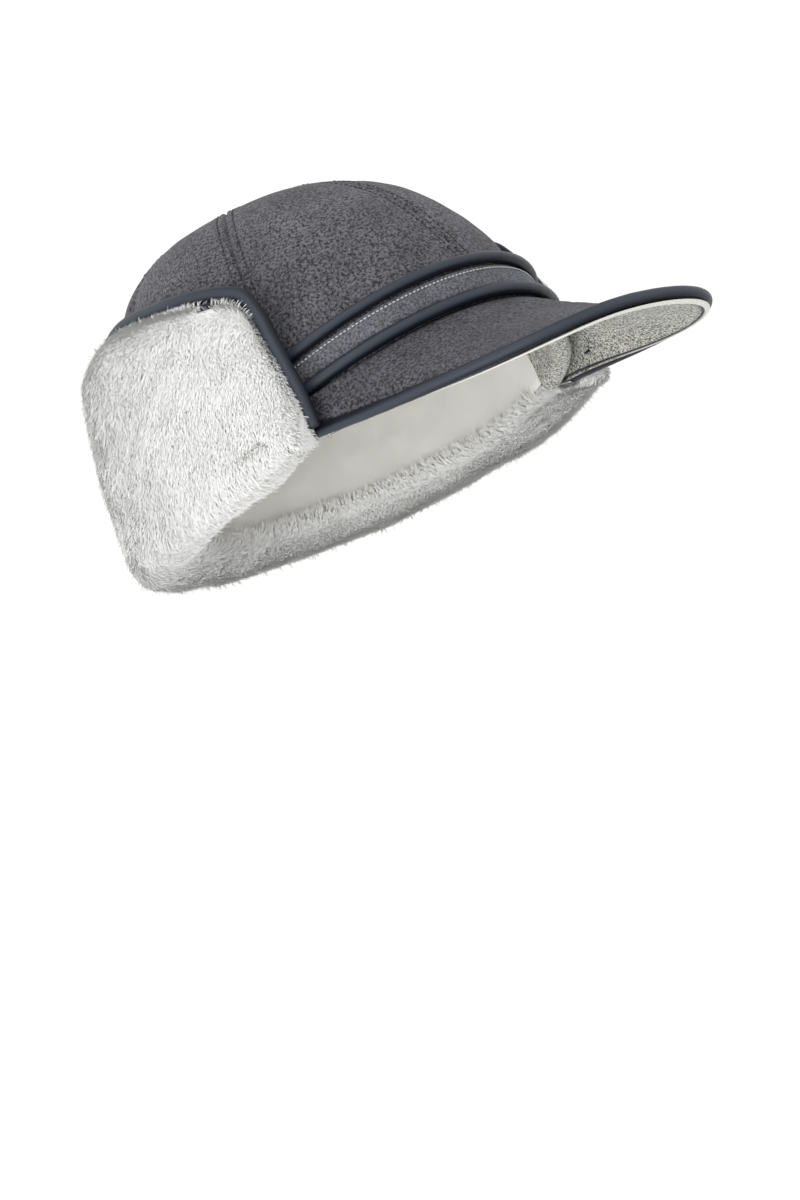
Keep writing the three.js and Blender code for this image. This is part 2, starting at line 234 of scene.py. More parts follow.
def tube(path: Array, ups: Array, radius: Array, sides: int = 16) -> Skin:
    """Round cord: a circle carried square to a path, with a fan of triangles at each end.

    Args:
        path: points of the middle line.
        ups: a direction away from what carries it, at each point.
        radius: radius at each point, or one for all.
        sides: points round the circle.

    Returns:
        The closed skin, with the value "crest" of 1 on the side away from what carries it.
    """
    along = unit(np.gradient(path, axis=0))
    ups = unit(ups - (ups * along).sum(-1, keepdims=True) * along)
    radius = np.broadcast_to(np.asarray(radius, float), path.shape[:1])[:, None, None]
    body = path[:, None] + radius * circles(sides, ups, np.cross(along, ups))
    count = len(path)
    ends = np.stack([path[0] - along[0] * 0.5, path[-1] + along[-1] * 0.5])
    ring = np.arange(sides)
    after = np.roll(ring, -1)
    start = (count - 1) * sides
    first = np.stack([np.full(sides, count * sides), ring, after], -1)
    last = np.stack([np.full(sides, count * sides + 1), start + after, start + ring], -1)
    # crest is 1 on the side away from what carries it, where the rolls' finish paints its highlight.
    crest = np.tile(np.maximum(np.cos(ring * TURN / sides), 0), count)
    points = np.concatenate([body.reshape(-1, 3), ends])
    faces = [ring_faces(count, sides), np.concatenate([first, last])]
    return Skin(points, faces, {"crest": np.append(crest, [0, 0])}).outward()


def smooth_path(points: Array, steps: int) -> Array:
    """Centripetal Catmull-Rom curve through points: blends of blends by the roots of the chords.

    Args:
        points: the points that it runs through.
        steps: steps between each two of them.

    Returns:
        The points of the curve.
    """
    padded = np.concatenate([[2 * points[0] - points[1]], points, [2 * points[-1] - points[-2]]])
    knots = np.sqrt(np.maximum(np.linalg.norm(np.diff(padded, axis=0), axis=1), 1e-6))
    knots = np.concatenate([[0], np.cumsum(knots)])
    share = (np.arange(steps) / steps)[None, :, None]
    k = [knots[i:len(knots) - 3 + i, None, None] for i in range(4)]
    p = [padded[i:len(padded) - 3 + i, None] for i in range(4)]
    at = k[1] + (k[2] - k[1]) * share
    a = [((k[i + 1] - at) * p[i] + (at - k[i]) * p[i + 1]) / (k[i + 1] - k[i]) for i in range(3)]
    b = [((k[i + 2] - at) * a[i] + (at - k[i]) * a[i + 1]) / (k[i + 2] - k[i]) for i in range(2)]
    curve = ((k[2] - at) * b[0] + (at - k[1]) * b[1]) / (k[2] - k[1])
    return np.concatenate([curve.reshape(-1, points.shape[-1]), points[-1:]])


def evenly(path: Array, pitch: float) -> tuple[Array, Array]:
    """Places at an even pitch along a path.

    Args:
        path: points of the path.
        pitch: distance between places in mm.

    Returns:
        The places, and the direction of the path at each.
    """
    chords = np.linalg.norm(np.diff(path, axis=0), axis=1)
    length = np.concatenate([[0], np.cumsum(chords)])
    at = np.arange(pitch / 2, length[-1], pitch)
    places = np.stack([np.interp(at, length, path[:, k]) for k in range(3)], -1)
    ways = unit(np.gradient(path, axis=0))
    return places, unit(np.stack([np.interp(at, length, ways[:, k]) for k in range(3)], -1))


@dataclass(frozen=True)
class Stitching:
    """Rows of stitches: small capsules that dip into the leather at both ends."""

    pitch: float = 3.2
    share: float = 0.66
    radius: float = 0.34
    dip: float = 0.45

    def rows(self, paths: list[tuple[Array, Array]]) -> Skin:
        """Stitches along paths.

        A ring of five points at four places along each stitch: its size is the root of what is
        left of the half length, and its middle sinks with the square of the distance.

        Args:
            paths: pairs of a path and the directions away from the leather along it.

        Returns:
            All stitches as one skin.
        """
        places, ways, ups = [], [], []
        for path, away in paths:
            place, way = evenly(path, self.pitch)
            nearest = np.linalg.norm(path[None] - place[:, None], axis=-1).argmin(1)
            places.append(place)
            ways.append(way)
            ups.append(away[nearest])
        place, way, up = np.concatenate(places), np.concatenate(ways), np.concatenate(ups)
        up = unit(up - (up * way).sum(-1, keepdims=True) * way)
        sides = 5
        shares = np.array([-1, -0.6, 0.6, 1])
        size = self.radius * np.sqrt(np.maximum(1.04 - shares**2, 0.0))
        half = self.pitch * self.share / 2
        middle = place[:, None] + way[:, None] * (shares * half)[None, :, None]
        middle = middle - up[:, None] * (self.dip * shares**2)[None, :, None]
        rings = circles(sides, up, np.cross(way, up))
        points = middle[:, :, None] + size[None, :, None, None] * rings[:, None]
        each = len(shares) * sides
        starts = (np.arange(len(place)) * each)[:, None, None]
        caps = np.stack([np.arange(sides)[::-1], np.arange(each - sides, each)])
        quads = ring_faces(len(shares), sides)
        faces = [(quads[None] + starts).reshape(-1, 4), (caps[None] + starts).reshape(-1, sides)]
        return Skin(points.reshape(-1, 3), faces).outward()


class Nodes:
    """Short way to add shader nodes to one material."""

    def __init__(self, name: str) -> None:
        """Starts a material with a surface shader only."""
        self.material = bpy.data.materials.new(name)
        self.material.use_nodes = True
        self.tree = self.material.node_tree
        self.shader = self.tree.nodes["Principled BSDF"]
        self.place = self.add("ShaderNodeTexCoord").outputs["Object"]

    def add(self, kind: str, inputs: dict | None = None, **settings: object) -> bpy.types.Node:
        """Adds a node.

        Args:
            kind: type of the node.
            inputs: a value or an output for each named or numbered input.
            settings: values of the node's own properties.

        Returns:
            The node.
        """
        node = self.tree.nodes.new(kind)
        for name, value in settings.items():
            setattr(node, name, value)
        self.fill(node, inputs or {})
        return node

    def fill(self, node: bpy.types.Node, inputs: dict) -> None:
        """Sets or links the inputs of a node."""
        for name, value in inputs.items():
            if isinstance(value, bpy.types.NodeSocket):
                self.tree.links.new(value, node.inputs[name])
            else:
                node.inputs[name].default_value = value

    def noise(self, size: float, detail: float = 2, rough: float = 0.5) -> Socket:
        """Noise whose features are about a size in mm."""
        inputs = {"Vector": self.place, "Scale": 1000 / size, "Detail": detail, "Roughness": rough}
        return self.add("ShaderNodeTexNoise", inputs).outputs["Fac"]

    def patches(self, size: float) -> Socket:
        """Distance from the middle of the nearest cell, of cells about a size in mm."""
        inputs = {"Vector": self.place, "Scale": 1000 / size}
        return self.add("ShaderNodeTexVoronoi", inputs).outputs["Distance"]

    def value(self, name: str) -> Socket:
        """The piece's own value of a name."""
        return self.add("ShaderNodeAttribute", attribute_name=name).outputs["Fac"]

    def between(self, value: Socket, low: float, high: float) -> Socket:
        """A value from 0 to 1 as one between two numbers."""
        return self.add("ShaderNodeMapRange", {"Value": value, 3: low, 4: high}).outputs[0]

    def ramp(self, value: Socket, stops: list[tuple[float, Colour]]) -> Socket:
        """Colours between stops, by a value."""
        node = self.add("ShaderNodeValToRGB", {"Fac": value})
        elements = node.color_ramp.elements
        elements[0].position = stops[0][0]
        elements[1].position = stops[-1][0]
        for position, _ in stops[1:-1]:
            elements.new(position)
        for element, (_, colour) in zip(elements, stops):
            element.color = (*colour, 1)
        return node.outputs["Color"]

    def blend(self, share: object, low: object, high: object, kind: str = "MIX") -> Socket:
        """Blend of two colours."""
        node = self.add("ShaderNodeMix", data_type="RGBA", blend_type=kind)
        self.fill(node, {0: share, 6: low, 7: high})
        return node.outputs[2]

    def bump(self, layers: list[tuple[Socket, float, float]]) -> Socket:
        """Bumps on each other, each of a height source, a strength and a depth in mm."""
        normal = None
        for height, strength, depth in layers:
            inputs = {"Height": height, "Strength": strength, "Distance": depth * METRE}
            node = self.add("ShaderNodeBump", inputs)
            if normal is not None:
                self.tree.links.new(normal, node.inputs["Normal"])
            normal = node.outputs["Normal"]
        return normal


def shade(colour: Colour, factor: float) -> Colour:
    """A colour made lighter or darker."""
    return tuple(min(1.0, channel * factor) for channel in colour)


@dataclass(frozen=True)
class Finish:
    """A finish: its name, and what goes into its shader."""

    name: str

    def sockets(self, nodes: Nodes) -> dict:
        """Values and outputs for the shader's inputs, by name."""
        raise NotImplementedError

    def build(self) -> bpy.types.Material:
        """The finish as a material."""
        nodes = Nodes(self.name)
        nodes.fill(nodes.shader, self.sockets(nodes))
        return nodes.material


@dataclass(frozen=True)
class PaleFloor(Finish):
    """Matt pale floor."""

    def sockets(self, nodes: Nodes) -> dict:
        """Nearly white, with soft patches of 400 mm."""
        stops = [(0.3, (0.84,) * 3), (0.7, (0.88,) * 3)]
        return {"Base Color": nodes.ramp(nodes.noise(400, 2), stops), "Roughness": 0.9}


@dataclass(frozen=True)
class Suede(Finish):
    """Matt leather with a short nap: fine speckle, soft blotches and a pebbled surface."""

    colour: Colour
    roughness: float = 0.8
    speckle: float = 0.62
    blotch: float = 0.16
    blotch_size: float = 26.0
    cloud_size: float = 5.0
    pebble_size: float = 1.5
    grain: float = 1.5
    relief: float = 0.45
    sheen: float = 0.06

    def edged(self, nodes: Nodes, tone: Socket) -> Socket:
        """The tone with the piece's edges on it, of which plain suede has none."""
        return tone

    def sockets(self, nodes: Nodes) -> dict:
        """Speckle at the grain's size times blotches and clouds, with bumps of three sizes."""
        fine = nodes.noise(self.grain, 4, 0.72)
        soft = nodes.noise(self.blotch_size, 2)
        cloud = nodes.noise(self.cloud_size, 2, 0.6)
        dark, light = shade(self.colour, 1 - self.speckle), shade(self.colour, 1 + self.speckle)
        speckled = nodes.ramp(fine, [(0.4, dark), (0.5, self.colour), (0.6, light)])
        low, high = 1 - self.blotch, 1 + self.blotch
        blotches = nodes.ramp(soft, [(0.3, (low,) * 3), (0.7, (high,) * 3)])
        tone = nodes.blend(1.0, speckled, blotches, "MULTIPLY")
        clouds = nodes.ramp(cloud, [(0.32, (0.9,) * 3), (0.68, (1.0,) * 3)])
        tone = nodes.blend(1.0, tone, clouds, "MULTIPLY")
        pebbles = nodes.patches(self.pebble_size)
        bumps = [(cloud, 0.5, 0.8), (pebbles, 0.6, self.relief), (fine, 0.9, self.relief)]
        return {
            "Base Color": self.edged(nodes, tone),
            "Roughness": self.roughness,
            "Normal": nodes.bump(bumps),
            "Sheen Weight": self.sheen,
            "Sheen Roughness": 0.5,
            "Specular IOR Level": 0.3,
        }


@dataclass(frozen=True)
class EdgedSuede(Suede):
    """Suede with a painted highlight on a light margin and painted shade in a dark groove, where the
    values of those names are 1.
    """

    # Colour of the painted highlight on the margin under the peak's edge.
    margin: Colour = (0.6, 0.6, 0.56)
    # Colour of the painted shade in the groove.
    groove: Colour = (0.012, 0.014, 0.022)

    def edged(self, nodes: Nodes, tone: Socket) -> Socket:
        """The tone blended to the margin's painted highlight and the groove's painted shade by the
        piece's values.
        """
        for name, colour in (("margin", self.margin), ("groove", self.groove)):
            tone = nodes.blend(nodes.value(name), tone, (*colour, 1))
        return tone


@dataclass(frozen=True)
class RolledLeather(Finish):
    """Dark smooth leather of the rolls: satin, with fine grain, faint patches of wear and a painted
    highlight along the crest.
    """

    colour: Colour
    # Colour of the painted highlight along each roll's crest, the side away from what carries it.
    crest_highlight: Colour = (0.036, 0.043, 0.057)
    roughness: float = 0.34

    def sockets(self, nodes: Nodes) -> dict:
        """Dark with 9 mm patches of wear, a painted highlight where the value "crest" is 1, and 0.8 mm
        grain.
        """
        rub = nodes.noise(9, 3, 0.6)
        tone = nodes.ramp(rub, [(0.35, self.colour), (0.75, shade(self.colour, 1.7))])
        # Painted highlight: the value "crest" lifts the colour towards the highlight's on the roll's
        # outer side.
        highlight_share = nodes.ramp(nodes.value("crest"), [(0.55, (0, 0, 0)), (0.98, (0.9,) * 3)])
        bumps = [(nodes.noise(3, 2), 0.2, 0.25), (nodes.patches(0.8), 0.18, 0.08)]
        return {
            "Base Color": nodes.blend(highlight_share, tone, (*self.crest_highlight, 1)),
            "Roughness": nodes.between(rub, self.roughness, self.roughness + 0.14),
            "Normal": nodes.bump(bumps),
            "Specular IOR Level": 0.15,
        }


@dataclass(frozen=True)
class Metal(Finish):
    """Bright metal of the small studs, with wear on it."""

    colour: Colour

    def sockets(self, nodes: Nodes) -> dict:
        """Metal with 1 mm patches of duller shine."""
        gloss = nodes.between(nodes.noise(1, 2), 0.18, 0.4)
        return {"Base Color": (*self.colour, 1), "Metallic": 1.0, "Roughness": gloss}


@dataclass(frozen=True)
class Thread(Finish):
    """Twisted sewing thread."""

    colour: Colour

    def sockets(self, nodes: Nodes) -> dict:
        """Colour with a 0.4 mm twist of light and dark."""
        twist = nodes.noise(0.4, 2)
        stops = [(0.35, shade(self.colour, 0.7)), (0.65, shade(self.colour, 1.25))]
        tone = nodes.ramp(twist, stops)
        return {"Base Color": tone, "Roughness": 0.6, "Normal": nodes.bump([(twist, 0.4, 0.08)])}


@dataclass(frozen=True)
class Wool(Finish):
    """Clipped sheep's wool: painted shade deep in the pile makes it darker at the roots and lighter at
    the tips.
    """

    root: Colour
    middle: Colour
    tip: Colour
    patch: float = 0.06

    def sockets(self, nodes: Nodes) -> dict:
        """Colour by the value "tipward" from root to tip, times soft patches."""
        stops = [(0.0, self.root), (0.45, self.middle), (1.0, self.tip)]
        tone = nodes.ramp(nodes.value("tipward"), stops)
        soft = nodes.noise(16, 2)
        patches = nodes.ramp(soft, [(0.3, (1 - self.patch,) * 3), (0.7, (1.0,) * 3)])
        return {
            "Base Color": nodes.blend(1.0, tone, patches, "MULTIPLY"),
            "Roughness": 0.95,
            "Specular IOR Level": 0.1,
            "Sheen Weight": 0.15,
            "Sheen Roughness": 0.6,
        }


@dataclass
class Workshop:
    """Makes the finishes once and turns skins into pieces of the object."""

    finishes: dict[str, bpy.types.Material] = field(default_factory=dict)
    made: list[str] = field(default_factory=list)

    def dress(self, finish: Finish) -> bpy.types.Material:
        """The finish's material, built the first time."""
        if finish.name not in self.finishes:
            self.finishes[finish.name] = finish.build()
        return self.finishes[finish.name]

    def mesh(self, name: str, skin: Skin) -> bpy.types.Mesh:
        """The skin as a smooth mesh in metres, with its values and shading normals.

        Args:
            name: name of the mesh.
            skin: points in mm and faces.

        Returns:
            The mesh.
        """
        mesh = bpy.data.meshes.new(name)
        mesh.vertices.add(len(skin.points))
        mesh.vertices.foreach_set("co", (skin.points * METRE).astype(np.float32).ravel())
        corners = np.concatenate([block.ravel() for block in skin.faces])
        sizes = np.concatenate([np.full(len(block), block.shape[1]) for block in skin.faces])
        mesh.loops.add(len(corners))
        mesh.loops.foreach_set("vertex_index", corners.astype(np.int32))
        mesh.polygons.add(len(sizes))
        starts = np.concatenate([[0], np.cumsum(sizes)[:-1]])
        mesh.polygons.foreach_set("loop_start", starts.astype(np.int32))
        mesh.polygons.foreach_set("use_smooth", np.ones(len(sizes), bool))
        mesh.update(calc_edges=True)
        for value_name, value in skin.values.items():
            attribute = mesh.attributes.new(value_name, "FLOAT", "POINT")
            attribute.data.foreach_set("value", value.astype(np.float32))
        if skin.normals is not None:
            mesh.normals_split_custom_set_from_vertices(skin.normals.astype(np.float32))
        return mesh

    def piece(self, name: str, skin: Skin, finish: Finish, slot: Slot, *nodes: str) -> None:
        """Puts a skin into an object that rides on the frame.

        Args:
            name: name of the piece.
            skin: points in mm and faces.
            finish: the finish that it gets.
            slot: the record's slot of that finish; not used.
            nodes: CAD nodes that it stands for.
        """
        mesh = self.mesh(name, skin)
        mesh.materials.append(self.dress(finish))
        piece = bpy.data.objects.new(name, mesh)
        bpy.context.scene.collection.objects.link(piece)
        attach(piece, "root")
        if nodes:
            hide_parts(*nodes)
        self.made.append(name)
        log.info("%s: %d triangles", name, sum(len(b) * (b.shape[1] - 2) for b in skin.faces))


GREY_SUEDE = Suede("grey_suede", (0.067, 0.066, 0.0755), speckle=0.9, grain=1.3, blotch=0.2)
STRIP_SUEDE = Suede("strip_suede", (0.092, 0.095, 0.11), speckle=0.6, grain=1.1)
# The crown's grey leather in a darker copy for the peak's top: the difference is painted shade.
PEAK_SUEDE = Suede("peak_suede", (0.048, 0.0468, 0.056), speckle=0.9, grain=1.4, blotch=0.24)
PALE_SUEDE = EdgedSuede("pale_suede", (0.31, 0.31, 0.28), speckle=0.95, grain=1.0, blotch=0.08)
NAVY_ROLL = RolledLeather("navy_roll", (0.005, 0.006, 0.011))
DARK_THREAD = Thread("dark_thread", (0.009, 0.009, 0.012))
STUD_METAL = Metal("stud_metal", (0.55, 0.56, 0.6))
LIGHT_THREAD = Thread("light_thread", (0.42, 0.43, 0.45))
LONG_WOOL = Wool("long_wool", (0.36, 0.35, 0.325), (0.73, 0.73, 0.71), (0.77, 0.772, 0.757), 0.04)
SHORT_WOOL = Wool("short_wool", (0.55, 0.54, 0.5), (0.72, 0.71, 0.68), (0.85, 0.845, 0.82))


@dataclass
class Crown:
    """The crown: six leather panels to a point, over a lining of clipped wool."""

    half_length: float = 109.0
    half_width: float = 90.8
    height: float = 124.4
    wall: float = 7.0
    leather: float = 1.6
    apex_setback: float = 26.6
    puff: float = 2.2
    puff_from: float = 46.0
    puff_full: float = 68.0
    puff_top: float = 50.0
    puff_mean: float = 0.5
    puff_power: float = 2.5
    rim_front: float = 8.0
    rim_back: float = -8.0
    shoulder_power: float = 3.3
    top_power: float = 2.0
    apex_hole: float = 0.5
    seams: tuple[int, ...] = (0, 51, 117, 180, 243, 309, 360)
    panels: tuple[str, ...] = (
        "crown_front_right",
        "crown_side_right",
        "crown_back_right",
        "crown_back_left",
        "crown_side_left",
        "crown_front_left",
    )
    seam_depth: float = 0.85
    seam_width: float = 1.0
    seam_lap: float = 0.45
    lap_height: float = 0.45
    stitch_side: float = 4.2
    stitch_dent: float = 0.6
    stitch_lift: float = 0.35
    lap_start: tuple[float, float] = (0.2, 1.6)
    lap_end: tuple[float, float] = (4.6, 7.5)
    pucker: float = 0.22
    slack: float = 0.45
    front_fullness: float = 1.5
    fullness_angle: float = 8.0
    fullness_reach: float = 40.0
    fullness_height: float = 84.0
    fullness_rise: float = 26.0
    lining_columns: int = 120
    lining_rows: int = 44
    lining_top: float = 0.985
    lining_under: float = 3.0
    lining_inside: float = 0.8
    panel_columns: int = 46
    panel_crowding: float = 0.115
    panel_rows: int = 62
    panel_top: float = 0.993

    @property
    def heart(self) -> Array:
        """A place inside the crown, from which all its faces look outwards."""
        return np.array([0, self.apex_setback, 40.0])

    @property
    def mean_radius(self) -> float:
        """Mean of the half length and half width."""
        return (self.half_length + self.half_width) / 2

    def share(self, z: Array, top: float) -> Array:
        """Part of the base outline left at a height: a superellipse of height."""
        rise = np.clip(z / top, 0, 1)
        return np.maximum(1 - rise**self.top_power, 0) ** (1 / self.shoulder_power)

    def back(self, z: Array) -> Array:
        """How far the outline's middle has moved back at a height."""
        return self.apex_setback * np.clip(z / self.height, 0, 1) ** 1.5

    def around(self, angle: Array, z: Array, out: Array = 0.0) -> Array:
        """Points round the crown at an angle and height, moved level outwards."""
        share = self.share(z, self.height)
        x = -np.sin(angle) * (self.half_width * share + out)
        y = -np.cos(angle) * (self.half_length * share + out) + self.back(z)
        return pile(x, y, z)

    def normal(self, angle: Array, z: Array) -> Array:
        """The plain crown's outward normal, from small steps up and around."""
        up = self.around(angle, z + 0.5) - self.around(angle, z - 0.5)
        side = self.around(angle + 0.005, z) - self.around(angle - 0.005, z)
        normal = unit(np.cross(up, side))
        outward = pile(-np.sin(angle), -np.cos(angle), np.zeros_like(normal[..., 0]))
        return normal * np.where((normal * outward).sum(-1) < 0, -1, 1)[..., None]

    def off(self, angle: Array, z: Array, out: Array) -> Array:
        """Points moved out along the crown's own normal."""
        return self.around(angle, z) + self.normal(angle, z) * np.asarray(out)[..., None]

    def reach(self, angle: Array, z: Array, inset: float) -> Array:
        """Distance from the apex's axis to the outline along a plan direction.

        It is the root of the ellipse's equation with its middle ahead of the axis.
        """
        top = self.height - inset
        share = self.share(z, top)
        width, length = self.half_width - inset, self.half_length - inset
        ahead = self.apex_setback * (1 - np.clip(z / top, 0, 1) ** 1.5)
        dx, dy = -np.sin(angle), -np.cos(angle)
        a = (dx / width) ** 2 + (dy / length) ** 2
        b = 2 * ahead * dy / length**2
        c = (ahead / length) ** 2 - share**2
        return (-b + np.sqrt(np.maximum(b * b - 4 * a * c, 0))) / (2 * a)

    def rows(self, angle: Array, share: Array, inset: float) -> tuple[Array, Array]:
        """Height and distance from the apex's axis, from the rim at 0 to the apex at 1."""
        base = self.reach(angle, np.zeros_like(angle), inset)
        front = (np.cos(angle) * base - self.apex_setback) / (self.half_length - inset)
        rim = mix(self.rim_back, self.rim_front, np.maximum(0, front))
        z = mix(rim, self.height - inset, np.sin(math.pi / 2 * share) ** (2 / self.top_power))
        return z, self.reach(angle, z, inset)

    def about_apex(self, angle: Array, radius: Array, z: Array) -> Array:
        """Points at an angle, radius and height round the apex's axis."""
        return pile(-np.sin(angle) * radius, -np.cos(angle) * radius + self.apex_setback, z)

    def relief(self, grid: Array, outline: Array, seam: Array) -> Array:
        """How far a panel's face stands off its plain form.

        It sinks into a groove at the seams, rises to a lap beside them and is dented under the
        stitch rows. Slow waves stand for the leather's slack, quick ones for puckers at the
        seams, and waves flattened in height for creases near the rim.

        Args:
            grid: the plain face.
            outline: distance from the apex's axis.
            seam: distance from the nearer seam, less than 0 past it.

        Returns:
            Distances in mm.
        """
        z = grid[..., 2]
        fade = ease(outline, 2, 14)
        lap = ease(seam, *self.lap_start) * (1 - ease(seam, *self.lap_end))
        sunk = self.seam_depth * (0.2 + 0.8 * ease(outline, 3, 16))
        relief = self.lap_height * lap * fade - sunk * bell(np.maximum(seam, 0), self.seam_width)
        relief = relief - 1.5 * np.maximum(-seam, 0)
        relief = relief - self.stitch_dent * bell(seam - self.stitch_side, 1.0) * fade
        pucker = ripple(grid, 6.5, 11) * bell(seam - 3, 4.5) * self.pucker
        creases = ripple(grid * [0.6, 0.6, 1.8], 15, 7) * (1 - ease(z, 60, 90))
        slack = ripple(grid, 42, 5) * self.slack + ripple(grid, 17, 6) * 0.14 + creases * 0.2
        return relief + (pucker + slack * ease(seam, 0, 16)) * fade

    def panel_grid(self, start: float, end: float, across: Array, share: Array) -> Array:
        """Outer face of a panel.

        Over the plain crown the panel swells between its seams, and the front is fuller a
        little to the right. At the seams it runs a little past them, so that two panels close
        the groove.

        Args:
            start: angle of the first seam.
            end: angle of the second seam.
            across: places between them from 0 to 1, for each column and row.
            share: places from the rim at 0 to the apex at 1, for each row.

        Returns:
            The grid.
        """
        angle = mix(start, end, across) + 0 * share
        _, outline = self.rows(angle, share + 0 * angle, 0)
        turn_in = self.seam_lap / np.maximum(outline, 3)
        angle = angle + turn_in * (bell(across - 1, 0.03) - bell(across, 0.03))
        z, outline = self.rows(angle, share + 0 * angle, 0)
        outline = np.maximum(outline, self.apex_hole)
        swell = (self.puff_mean - np.abs(2 * across - 1) ** self.puff_power) * self.puff
        swell = swell * ease(z, self.puff_from, self.puff_full) * ease(outline, 0, self.puff_top)
        grid = self.about_apex(angle, outline + swell, z)
        seam = outline * np.minimum(angle - start, end - angle)
        turned = np.arctan2(np.sin(angle), np.cos(angle)) / DEGREE
        full = self.front_fullness * bell(turned - self.fullness_angle, self.fullness_reach)
        full = full * bell(z - self.fullness_height, self.fullness_rise)
        lift = self.relief(grid, outline, seam) + full
        return grid + outward_normals(grid, self.heart) * lift[..., None]

    def stitch_paths(self) -> list[tuple[Array, Array]]:
        """Topstitch rows on both sides of each seam: the middle of three columns of the panel."""
        paths = []
        share = np.linspace(0.03, 0.94, 150)[None]
        for panel in range(len(self.panels)):
            start, end = self.seams[panel] * DEGREE, self.seams[panel + 1] * DEGREE
            for side in (0, 1):
                _, outline = self.rows(np.array([[(start, end)[side]]]), share, 0)
                beside = self.stitch_side + np.array([[-0.4], [0], [0.4]])
                across = np.minimum(beside / (outline * (end - start)), 0.4)
                grid = self.panel_grid(start, end, 1 - across if side else across, share)
                normals = outward_normals(grid, self.heart)
                paths.append((grid[1] + normals[1] * self.stitch_lift, normals[1]))
        return paths

    def lining(self) -> tuple[Skin, Array]:
        """Wool lining: a closed dome shell between the leather and the wall's inner face.

        Its inner face is lumpy with waves of 9 and 4 mm. Both faces end in a fan at the apex.

        Returns:
            The skin, and the inner grid that the short strands grow from.
        """
        columns, rows = self.lining_columns, self.lining_rows
        angle = (np.arange(columns) * TURN / columns)[:, None]
        share = np.linspace(0, self.lining_top, rows)[None]
        grids = []
        for inset in (self.leather + self.lining_under, self.wall - self.lining_inside):
            z, outline = self.rows(angle + 0 * share, share + 0 * angle, inset)
            grids.append(self.about_apex(angle, outline, z))
        outer, inner = grids
        normals = outward_normals(inner, self.heart)
        lumps = 0.9 * ripple(inner, 9, 21) + 0.5 * ripple(inner, 4, 22)
        inner = inner + normals * lumps[..., None]
        count = columns * rows
        low = np.arange(columns) * rows
        after_low = np.roll(low, -1)
        top, after_top = low + rows - 1, after_low + rows - 1
        tips = np.array([outer[:, -1].mean(0), inner[:, -1].mean(0)])
        faces = [
            grid_faces(columns, rows, 0, True),
            grid_faces(columns, rows, count, True)[:, ::-1],
            np.stack([after_low, low, low + count, after_low + count], -1),
            np.stack([after_top, np.full(columns, 2 * count), top], -1)[:, ::-1],
            np.stack([after_top + count, np.full(columns, 2 * count + 1), top + count], -1),
        ]
        points = np.concatenate([outer.reshape(-1, 3), inner.reshape(-1, 3), tips])
        # The lining's face takes a value near the roots': painted shade deep in the pile.
        return Skin(points, faces).outward().marked("tipward", 0.25), inner

    def build(self, shop: Workshop) -> None:
        """Makes the panels, their stitches and the wool lining.

        The panels' columns crowd to the seams by a sine, and their last rows to the apex.
        """
        even = np.linspace(0, 1, self.panel_columns)[:, None]
        columns = even - self.panel_crowding * np.sin(TURN * even)
        rows = np.linspace(0, self.panel_top, self.panel_rows)
        rows = np.append(rows, 1 - np.geomspace(0.0045, 0.0001, 8))[None]
        for panel, name in enumerate(self.panels):
            start, end = self.seams[panel] * DEGREE, self.seams[panel + 1] * DEGREE
            outer = self.panel_grid(start, end, columns, rows)
            normals = outward_normals(outer, self.heart)
            depth = np.minimum(self.leather, 0.35 * np.linalg.norm(outer[0] - outer[-1], axis=-1))
            inner = outer - normals * depth[None, :, None]
            shop.piece(name + "_leather", slab(outer, inner), GREY_SUEDE, Slot.GREY, name)
        skin = Stitching(pitch=3.1, share=0.7, radius=0.52).rows(self.stitch_paths())
        shop.piece("crown_stitches", skin, DARK_THREAD, Slot.GREY)
        lining, inner = self.lining()
        shop.piece("crown_wool_lining", lining, SHORT_WOOL, Slot.WOOL)
        closed = np.concatenate([inner, inner[:1]])[::-1]
        blades = WoolField(count=15000, length=4.5, width=0.9, lean=40, seed=31, clump=4.0)
        shop.piece("crown_wool_strands", blades.grow(closed), SHORT_WOOL, Slot.WOOL)


@dataclass
class Places:
    """Places on a grid: the cell of each, and its two shares of the cell."""

    column: Array
    row: Array
    share: Array

    def sample(self, values: Array) -> Array:
        """Values of the grid at the places, blended between the cell's corners."""
        u, v = self.share
        if values.ndim == 3:
            u, v = u[:, None], v[:, None]
        column, row = self.column, self.row
        low = mix(values[column, row], values[column + 1, row], u)
        high = mix(values[column, row + 1], values[column + 1, row + 1], u)
        return mix(low, high, v)


